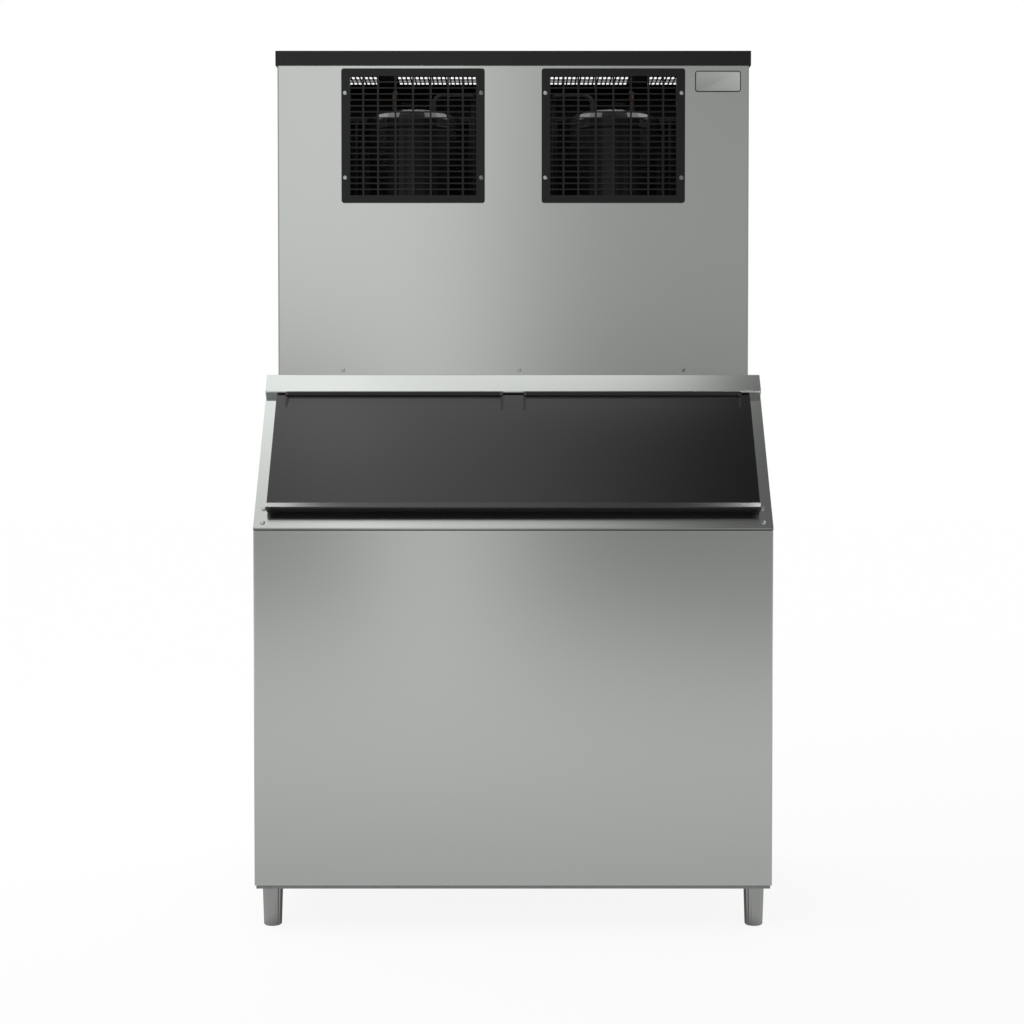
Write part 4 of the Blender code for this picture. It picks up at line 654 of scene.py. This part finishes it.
@dataclass
class HingeEdge:
    """Rolled upper edge of the door's skin under the hinge sleeves, with a rib under each of its knuckles.

    Attributes:
        foot: How far down the slope from the hinge's axis the edge leaves the door.
        bend: How far down from that axis the roll starts.
        roll: How far down from that axis the top of the roll is.
        rise: How far the roll stands out of the door's face.
        thickness: Wall of the edge.
        proud: How far its face stands above the door's.
        end_gap: How far it reaches past either end of a sleeve.
        rib_top: How far down from the axis the top of a rib is, just inside the knuckle.
        rib_height: Height of a rib's top over the axis, out from the slope.
        rib_gap: Gap between a sleeve's end and the rib.
        rib_width: Width of a rib.
        outer_rib: How far the rib under an outer knuckle runs down the door.
        inner_rib: How far the rib under an inner knuckle runs down the door.
    """

    foot: float = 0.0156
    bend: float = 0.0072
    roll: float = 0.0044
    rise: float = 0.0020
    thickness: float = 0.0014
    proud: float = 0.00015
    end_gap: float = 0.0004
    rib_top: float = 0.0124
    rib_height: float = -0.0001
    rib_gap: float = 0.0006
    rib_width: float = 0.0050
    outer_rib: float = 0.021
    inner_rib: float = 0.030

    def bars(self, side: str, skin: float) -> list[tuple[float, float, Profile]]:
        """Lists the strip under one sleeve and the ribs at its two ends.

        Args:
            side: Which sleeve, left or right.
            skin: Height of the edge's face over the hinge's axis, out from the slope.

        Returns:
            X where each one starts, its length along X, and its section's corners, as distances up the slope
            and out of it from that axis.
        """
        low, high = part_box(f"hinge_sleeve_{side}")
        half, under = self.thickness / 2, skin - self.thickness
        strip = (
            (-self.foot, skin),
            (-self.bend, skin),
            (-self.roll, skin + self.rise),
            (-self.roll + half, skin + self.rise - half),
            (-self.bend + half, under),
            (-self.foot, under),
        )
        found = [(low.x - self.end_gap, high.x - low.x + 2 * self.end_gap, strip)]
        outer, inner = (low.x, high.x) if side == "left" else (high.x, low.x)
        for end, reach in ((outer, self.outer_rib), (inner, self.inner_rib)):
            away = 1 if end == high.x else -1
            top, bottom = -self.rib_top, -self.rib_top - reach
            rib = ((top, self.rib_height), (top, under), (bottom, under), (bottom, skin))
            found.append((end + away * self.rib_gap, away * self.rib_width, rib))
        return found

    def build(self) -> None:
        """Draws out the strips and the ribs along the hinge's axis."""
        middle, up, out = sloping_face("door_panel")
        hinge = next(joint for joint in frame["joints"] if joint["name"] == "door_hinge")
        axis = Vector(hinge["pos_m"])
        skin = (middle - axis).dot(out) + self.proud
        bm = bmesh.new()
        for x, length, section in self.bars("left", skin) + self.bars("right", skin):
            start = Vector((x, axis.y, axis.z))
            corners = [start + up * along + out * height for along, height in section]
            face = bm.faces.new([bm.verts.new(corner) for corner in corners])
            verts, _ = extruded(bm, [face])
            bmesh.ops.translate(bm, vec=(length, 0, 0), verts=verts)
        add_piece(bm, "door_hinge_edge", "door", [DOOR_PLASTIC])


@dataclass
class HoodDoor:
    """The lift-up door with its hinges.

    Attributes:
        edge: The skin's edge under the hinge sleeves.
    """

    edge: HingeEdge = field(default_factory=HingeEdge)

    def build(self) -> None:
        """Gives the door's pieces their finishes and adds the skin's edge."""
        DOOR_PLASTIC.dress("door_panel")
        LIP_PLASTIC.dress("door_handle_lip")
        LINER_PE.dress("door_inner_pan")
        RUBBER.dress("door_gasket")
        COVER_ABS.dress("hinge_sleeve_left", "hinge_sleeve_right")
        SCREW_STEEL.dress("hinge_pin_left", "hinge_pin_right")
        self.edge.build()
        for name in UNMIRRORED:
            frame["nodes"][name].visible_glossy = False


@dataclass
class BadgePlate:
    """Bare rounded plate on the head's front.

    Attributes:
        centre_x: Middle of the plate across the machine.
        centre_z: Height of its middle.
        width: Width of the plate.
        height: Height of the plate.
        thickness: How far it stands off the panel.
        corner: Radius of its corners.
        corner_steps: Faces round each corner.
        rim: Width of its dark rim.
        set_in: How far its face is set in, as a share of the thickness.
    """

    centre_x: float = 0.5075
    centre_z: float = 2.0460
    width: float = 0.1138
    height: float = 0.0523
    thickness: float = 0.0014
    corner: float = 0.0070
    corner_steps: int = 6
    rim: float = 0.0026
    set_in: float = 0.4

    def build(self) -> None:
        """Makes the plate: a rounded block whose face is set in from a raised rim."""
        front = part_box("head_front_panel")[0].y
        bm = bmesh.new()
        size = Matrix.Diagonal((self.width, self.thickness, self.height, 1.0))
        middle = Vector((self.centre_x, front - self.thickness / 2, self.centre_z))
        bmesh.ops.create_cube(bm, size=1.0, matrix=Matrix.Translation(middle) @ size)
        least = self.thickness / 2
        corners = [edge for edge in bm.edges if abs(edge.verts[0].co.y - edge.verts[1].co.y) > least]
        bmesh.ops.bevel(
            bm, geom=corners, offset=self.corner, segments=self.corner_steps,
            profile=0.5, affect="EDGES", material=-1,
        )
        face = min(bm.faces, key=lambda face: face.calc_center_median().y)
        bmesh.ops.inset_region(bm, faces=[face], thickness=self.rim, depth=0.0)
        bmesh.ops.translate(bm, vec=(0, self.thickness * self.set_in, 0), verts=face.verts[:])
        for item in bm.faces:
            item.material_index = 1
        face.material_index = 0
        add_piece(bm, "badge_plate", CABINET, [BADGE_FACE, BADGE_RIM])


@dataclass
class IceHead:
    """The ice-making head's cabinet with its grilles.

    Attributes:
        grille_screw_x: Distance of a grille's screws from its middle.
        grille_screw_z: Heights of a grille's screws.
        front_screw_x: Places of the front panel's lower screws.
        front_screw_z: Their height.
        front_screws: Their size.
        rear_margins: Distances of the rear screws from their panel's sides, its foot and its top.
        screws: Size of the grilles' and the rear's screws.
        badge: The bare plate on the front.
    """

    grille_screw_x: float = 0.1688
    grille_screw_z: tuple[float, float] = (1.808, 2.017)
    front_screw_x: tuple[float, ...] = (-0.423, 0.015, 0.424)
    front_screw_z: float = 1.332
    front_screws: ScrewSet = field(default_factory=lambda: ScrewSet(0.0048, 0.0020))
    rear_margins: Triple = (0.03, 0.02, 0.05)
    screws: ScrewSet = field(default_factory=ScrewSet)
    badge: BadgePlate = field(default_factory=BadgePlate)

    def dress(self) -> None:
        """Gives the head's pieces their finishes."""
        STEEL.dress("head_front_panel", "head_base_frame")
        STEEL_WITH_PAINTED_SHADE.dress("head_rear_panel")
        SIDE_STEEL.dress("head_side_left", "head_side_right")
        COVER_ABS.dress("head_top_cover", "cable_gland")
        GRILLE_ABS.dress("fan_grille_left", "fan_grille_right")
        BRASS.dress("water_inlet", "head_drain")

    def build(self) -> None:
        """Adds the grilles' screws, the front's screws, the badge and the rear's screws."""
        self.dress()
        reach = self.grille_screw_x
        for side in SIDES:
            low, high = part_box(f"fan_grille_{side}")
            middle = (low.x + high.x) / 2
            columns = (middle - reach, middle + reach)
            spots = [Vector((x, low.y, z)) for x in columns for z in self.grille_screw_z]
            self.screws.place_all(f"grille_screws_{side}", spots, FRONTWARD)
        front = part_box("head_front_panel")[0].y
        spots = [Vector((x, front, self.front_screw_z)) for x in self.front_screw_x]
        self.front_screws.place_all("head_front_screws", spots, FRONTWARD)
        self.badge.build()
        spots = rear_screw_spots(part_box("head_rear_panel"), self.rear_margins)
        self.screws.place_all("head_rear_screws", spots, REARWARD)


class Machinery:
    """What the head holds behind its grilles and above the ice drop."""

    def build(self) -> None:
        """Gives the machinery its finishes."""
        ZINC.dress("control_box")
        SHROUD_PAINT.dress("mech_deck", "fan_shroud_left", "fan_shroud_right")
        LINER_PE.dress("water_hose")
        INNER_ABS.dress("water_pump", "spray_bar")
        CLEAR_PLASTIC.dress("water_trough")
        for side in SIDES:
            ENAMEL.dress(f"compressor_{side}", f"fan_motor_{side}")
            FIN_METAL.dress(f"condenser_{side}")
            INNER_ABS.dress(f"fan_{side}")
            NICKEL.dress(f"evaporator_{side}")
            CLEAR_PLASTIC.dress(f"ice_curtain_{side}")
            PIPE_SLEEVE.dress(f"suction_pipe_{side}")
            COPPER.dress(f"discharge_pipe_{side}")


@dataclass(frozen=True)
class GradedCard:
    """Lit card that the steel mirrors, its brightness running through several profiles, one after the other.

    Attributes:
        name: Name of the card.
        middle: Its centre.
        facing: Direction that it faces.
        size: Its width and height.
        stations: Places along the card, each with the profile there: places across and brightness at each.
        across: Axis that the profiles run along.
        along: Axis that the stations are on.
        most: Brightness that a ramp's white stands for.
    """

    name: str
    middle: Vector
    facing: Vector
    size: tuple[float, float]
    stations: tuple[tuple[float, Profile], ...]
    across: Way = Way.X
    along: Way = Way.Z
    most: float = 3.0

    def profile(self, tree: NodeTree, across: NodeSocket, stops: Profile) -> NodeSocket:
        """Turns places and brightnesses into a smooth colour ramp.

        Args:
            tree: The card's node tree.
            across: Output socket of the place across.
            stops: Places and the brightness at each.

        Returns:
            The ramp's output socket.
        """
        first, last = stops[0][0], stops[-1][0]
        share = add_node(tree, "MapRange", {"From Min": first, "From Max": last}, {"Value": across})
        ramp = add_node(tree, "ValToRGB", None, {"Fac": share.outputs["Result"]})
        ramp.color_ramp.interpolation = "B_SPLINE"
        points = ramp.color_ramp.elements
        while len(points) < len(stops):
            points.new(0.5)
        for point, (place, level) in zip(points, stops):
            point.position = (place - first) / (last - first)
            grey = level / self.most
            point.color = (grey, grey, grey, 1.0)
        return ramp.outputs["Color"]

    def paint(self) -> Material:
        """Builds the card's material.

        Returns:
            A matt black material that glows by the profiles.
        """
        made = bpy.data.materials.new(f"{self.name} paint")
        made.use_nodes = True
        tree = made.node_tree
        shader = tree.nodes["Principled BSDF"]
        shader.inputs["Base Color"].default_value = (0.0, 0.0, 0.0, 1.0)
        shader.inputs["Specular IOR Level"].default_value = 0.0
        place = add_node(tree, "TexCoord").outputs["Object"]
        axes = add_node(tree, "SeparateXYZ", None, {"Vector": place}).outputs
        before, stops = self.stations[0]
        glow = self.profile(tree, axes[self.across.value], stops)
        for station, stops in self.stations[1:]:
            ends = {"From Min": before, "From Max": station}
            place = {"Value": axes[self.along.value]}
            share = add_node(tree, "MapRange", ends, place, interpolation_type="SMOOTHSTEP")
            mixed = {
                MIX_FACTOR: share.outputs["Result"],
                MIX_FIRST: glow,
                MIX_SECOND: self.profile(tree, axes[self.across.value], stops),
            }
            glow = add_node(tree, "Mix", None, mixed, data_type="RGBA").outputs[MIX_RESULT]
            before = station
        tree.links.new(glow, shader.inputs["Emission Color"])
        shader.inputs["Emission Strength"].default_value = self.most
        return made

    def stand(self) -> None:
        """Stands the card beside the machine, out of the camera's sight."""
        bm = bmesh.new()
        turn = self.facing.to_track_quat("Z", "Y").to_matrix().to_4x4()
        shape = Matrix.Diagonal((self.size[0] / 2, self.size[1] / 2, 1.0, 1.0))
        place = Matrix.Translation(self.middle) @ turn @ shape
        bmesh.ops.create_grid(bm, x_segments=1, y_segments=1, size=1.0, matrix=place)
        mesh = bpy.data.meshes.new(self.name)
        bm.to_mesh(mesh)
        bm.free()
        mesh.materials.append(self.paint())
        made = bpy.data.objects.new(self.name, mesh)
        made.visible_camera = False
        made.visible_shadow = False
        bpy.context.scene.collection.objects.link(made)


@dataclass(frozen=True)
class SoftLamp:
    """Rectangular lamp out of the camera's sight.

    Attributes:
        name: Name of the lamp.
        spot: Its middle.
        aim: Point that it faces.
        size: Its width and height.
        power: Its power in watts.
        spread: Angle that it lights, in degrees.
    """

    name: str
    spot: Triple
    aim: Triple
    size: tuple[float, float]
    power: float
    spread: float = 180.0

    def hang(self) -> None:
        """Hangs the lamp at its place."""
        light = bpy.data.lights.new(self.name, "AREA")
        light.shape = "RECTANGLE"
        light.size, light.size_y = self.size
        light.energy = self.power
        light.spread = math.radians(self.spread)
        made = bpy.data.objects.new(self.name, light)
        made.location = self.spot
        sight = Vector(self.aim) - Vector(self.spot)
        made.rotation_euler = sight.to_track_quat("-Z", "Y").to_euler()
        made.visible_camera = False
        bpy.context.scene.collection.objects.link(made)


# What the bin's front mirrors over the floor: dim, with one soft light left of the middle.
LOW_LIGHT = (
    (-2.4, 0.28), (-1.39, 0.28), (-0.89, 0.45), (-0.51, 1.26), (0.0, 0.64), (0.475, 0.2), (1.39, 0.36),
    (3.0, 0.38),
)
# What the head's front mirrors: a wide soft light on the left.
HIGH_LIGHT = (
    (-3.0, 1.2), (-1.3, 1.24), (-0.65, 1.28), (-0.3, 1.14), (0.1, 0.79), (0.5, 0.64), (1.02, 0.61),
    (3.0, 0.62),
)
# What the foot of the bin's front mirrors: an even light that falls off to the right.
FOOT_LIGHT = ((-3.0, 1.25), (-1.0, 1.3), (0.6, 0.95), (1.2, 0.7), (3.0, 0.6))
# What the rail under the door and the door's foot mirror.
FORE_CEILING = (
    (-2.0, 0.9), (-0.87, 1.05), (-0.6, 1.45), (-0.39, 1.25), (0.0, 1.0), (0.3, 0.65), (0.65, 0.22),
    (0.87, 0.13), (2.0, 0.05),
)
# What the top of the door mirrors.
MIDDLE_CEILING = (
    (-2.0, 1.2), (-0.9, 1.5), (-0.67, 2.2), (-0.4, 1.6), (0.0, 1.1), (0.3, 0.7), (0.6, 0.3), (0.87, 0.14),
    (2.0, 0.05),
)
# What the band over the door mirrors.
BACK_CEILING = (
    (-2.0, 2.2), (-0.87, 2.0), (-0.41, 1.65), (0.0, 1.8), (0.31, 1.95), (0.6, 1.75), (0.84, 0.25), (2.0, 0.05)
)
# Bright low light to both sides, which the machine's side panels mirror near the floor.
SIDE_FOOT = (0.15, ((-6.4, 1.3), (1.2, 1.5)))

FRONT_WALL = GradedCard(
    "front_wall", Vector((0, -6.43, 3.2)), Vector((0, 1, 0)), (12.0, 6.4),
    ((0.0, FOOT_LIGHT), (0.5, LOW_LIGHT), (1.2, LOW_LIGHT), (1.85, HIGH_LIGHT)),
)
CEILING = GradedCard(
    "ceiling", Vector((0.8, -1.3, 3.4)), Vector((0, 0, -1)), (8.0, 5.4),
    ((-1.05, FORE_CEILING), (-0.74, MIDDLE_CEILING), (-0.56, BACK_CEILING)), along=Way.Y,
)
# Dim cards to both sides, which the folded edges mirror.
LEFT_WALL = GradedCard(
    "left_wall", Vector((-4.6, -2.6, 2.2)), Vector((1, 0, 0)), (7.6, 4.4),
    (SIDE_FOOT, (0.7, ((-6.4, 0.45), (1.2, 0.7)))), across=Way.Y,
)
RIGHT_WALL = GradedCard(
    "right_wall", Vector((5.0, -2.6, 2.2)), Vector((-1, 0, 0)), (7.6, 4.4),
    (SIDE_FOOT, (0.7, ((-6.4, 0.35), (1.2, 0.6)))), across=Way.Y,
)
CARDS = (FRONT_WALL, CEILING, LEFT_WALL, RIGHT_WALL)

# The first two are mirrored by the ends of the door's lip, and the third lights the compressors' shoulders.
LAMPS = (
    SoftLamp("left_strip_lamp", (-1.1, -2.63, 3.3), (-0.6, -0.42, 1.0), (0.44, 0.5), 0.33, 32.0),
    SoftLamp("right_strip_lamp", (1.18, -2.63, 3.3), (0.6, -0.42, 1.0), (0.32, 0.5), 0.58, 32.0),
    SoftLamp("shoulder_lamp", (0.0, -0.035, 2.1), (0.0, -0.035, 1.1), (1.1, 0.125), 2.9),
)


@dataclass
class Studio:
    """Floor, light and camera.

    Attributes:
        distance: How far the camera stands in front of the bin.
        eye: Height of the camera.
        pitch: How far it looks down, in degrees.
        lens: Its focal length, in millimetres.
        sensor: Width of its sensor, in millimetres.
        offset: Camera's place across the machine.
        floor_size: Side of the floor.
        floor_colour: sRGB hex colour of the floor.
        floor_roughness: Its microfacet roughness.
        floor_gloss: Its specular level.
        floor_white: Share of plain white in what the camera sees of the floor.
        floor_glow: Share of plain white in what the steel mirrors of the floor.
        floor_near_shade: Brightness of that white in the steel right in front of the machine, lowered as
            painted shade of the machine.
        floor_fade: Places in front of the machine between which it rises to full white.
        floor_under_shadow: Share of that brightness that is left under the machine, a painted shadow.
        painted_shadow_size: Half width and half depth of the painted shadow under the machine.
        painted_shadow_fade: Width over which the painted shadow fades to full brightness.
    """

    distance: float = 4.5
    eye: float = 1.1204
    pitch: float = 1.7
    lens: float = 67.56
    sensor: float = 36.0
    offset: float = -0.0030
    floor_size: float = 60.0
    floor_colour: str = "#FAFAFA"
    floor_roughness: float = 0.9
    floor_gloss: float = 0.1
    floor_white: float = 0.90
    floor_glow: float = 1.0
    floor_near_shade: float = 0.75
    floor_fade: tuple[float, float] = (-0.8, -3.2)
    floor_under_shadow: float = 0.25
    painted_shadow_size: tuple[float, float] = (0.52, 0.36)
    painted_shadow_fade: float = 0.12

    def white_level(self, tree: NodeTree, camera_ray: NodeSocket) -> NodeSocket:
        """Finds how bright the white is: full for the camera, and in the steel dimmer near the machine and
        under it, as painted shade and a painted shadow.

        Args:
            tree: The floor's node tree.
            camera_ray: Output socket that is one for the camera's rays.

        Returns:
            Output socket of that brightness.
        """
        place = add_node(tree, "TexCoord").outputs["Object"]
        depth = add_node(tree, "SeparateXYZ", None, {"Vector": place}).outputs["Y"]
        # Painted shadow: the floor that the steel mirrors is dimmed in a box under the machine.
        folded = add_node(tree, "VectorMath", None, {0: place}, operation="ABSOLUTE")
        halves = {1: (*self.painted_shadow_size, 0.0)}
        past = add_node(tree, "VectorMath", halves, {0: folded.outputs[0]}, operation="SUBTRACT")
        reach = add_node(tree, "SeparateXYZ", None, {"Vector": past.outputs[0]}).outputs
        outside = add_node(tree, "Math", None, {0: reach["X"], 1: reach["Y"]}, operation="MAXIMUM")
        ends = {"From Min": 0.0, "From Max": self.painted_shadow_fade, "To Min": self.floor_under_shadow, "To Max": 1.0}
        under = add_node(tree, "MapRange", ends, {"Value": outside.outputs[0]})
        # Painted shade: that floor also dims from full white far out to less near the machine's front.
        near, far = self.floor_fade
        ends = {"From Min": near, "From Max": far, "To Min": self.floor_near_shade, "To Max": 1.0}
        front = add_node(tree, "MapRange", ends, {"Value": depth})
        factors = {0: front.outputs[0], 1: under.outputs[0]}
        mirrored = add_node(tree, "Math", None, factors, operation="MULTIPLY")
        levels = {0: mirrored.outputs[0], 1: camera_ray}
        return add_node(tree, "Math", None, levels, operation="MAXIMUM").outputs[0]

    def floor_paint(self) -> Material:
        """Builds the floor's material.

        Returns:
            A matt white paint, mixed with plain white where it is seen.
        """
        paint = bpy.data.materials.new("white studio floor")
        paint.use_nodes = True
        tree = paint.node_tree
        shader = tree.nodes["Principled BSDF"]
        shader.inputs["Base Color"].default_value = linear(self.floor_colour)
        shader.inputs["Roughness"].default_value = self.floor_roughness
        shader.inputs["Specular IOR Level"].default_value = self.floor_gloss
        path = add_node(tree, "LightPath").outputs
        camera_ray = path["Is Camera Ray"]
        ends = {"To Min": self.floor_glow, "To Max": self.floor_white}
        most = add_node(tree, "MapRange", ends, {"Value": camera_ray})
        share = camera_ray
        for other, operation in (
            (path["Is Glossy Ray"], "MAXIMUM"),
            (path["Is Transmission Ray"], "MAXIMUM"),
            (most.outputs["Result"], "MULTIPLY"),
        ):
            pair = {0: share, 1: other}
            share = add_node(tree, "Math", None, pair, operation=operation).outputs[0]
        level = self.white_level(tree, camera_ray)
        white = add_node(tree, "Emission", None, {"Strength": level})
        parts = {0: share, 1: shader.outputs["BSDF"], 2: white.outputs["Emission"]}
        mixed = add_node(tree, "MixShader", None, parts)
        tree.links.new(mixed.outputs["Shader"], tree.nodes["Material Output"].inputs["Surface"])
        return paint

    def floor(self) -> None:
        """Lays a plain white floor under the legs, with a light shadow on it."""
        bm = bmesh.new()
        bmesh.ops.create_grid(bm, x_segments=1, y_segments=1, size=self.floor_size / 2)
        mesh = bpy.data.meshes.new("floor")
        bm.to_mesh(mesh)
        bm.free()
        plane = bpy.data.objects.new("floor", mesh)
        mesh.materials.append(self.floor_paint())
        bpy.context.scene.collection.objects.link(plane)

    def world(self) -> None:
        """Surrounds the machine with an even white sky."""
        sky = bpy.data.worlds.new("white studio")
        sky.use_nodes = True
        light = sky.node_tree.nodes["Background"].inputs
        light["Color"].default_value = (1.0, 1.0, 1.0, 1.0)
        light["Strength"].default_value = 1.0
        bpy.context.scene.world = sky

    def camera(self) -> None:
        """Stands the camera where the photograph was taken."""
        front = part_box("bin_front_panel")[0].y
        data = bpy.data.cameras.new("camera")
        data.lens = self.lens
        data.sensor_width = self.sensor
        made = bpy.data.objects.new("camera", data)
        made.location = (self.offset, front - self.distance, self.eye)
        made.rotation_euler = (math.radians(90 - self.pitch), 0, 0)
        bpy.context.scene.collection.objects.link(made)
        bpy.context.scene.camera = made

    def build(self) -> None:
        """Sets up floor, sky, cards, lamps and camera."""
        bpy.context.scene.view_settings.view_transform = "Standard"
        self.floor()
        self.world()
        for card in CARDS:
            card.stand()
        for lamp in LAMPS:
            lamp.hang()
        self.camera()
        log.info("studio ready")


def main() -> None:
    """Dresses the machine part by part, then sets up the studio."""
    for part in (StorageBin(), HoodDoor(), IceHead(), Machinery()):
        part.build()
        log.info("%s done", type(part).__name__)
    Studio().build()


if __name__ == "__main__":
    main()
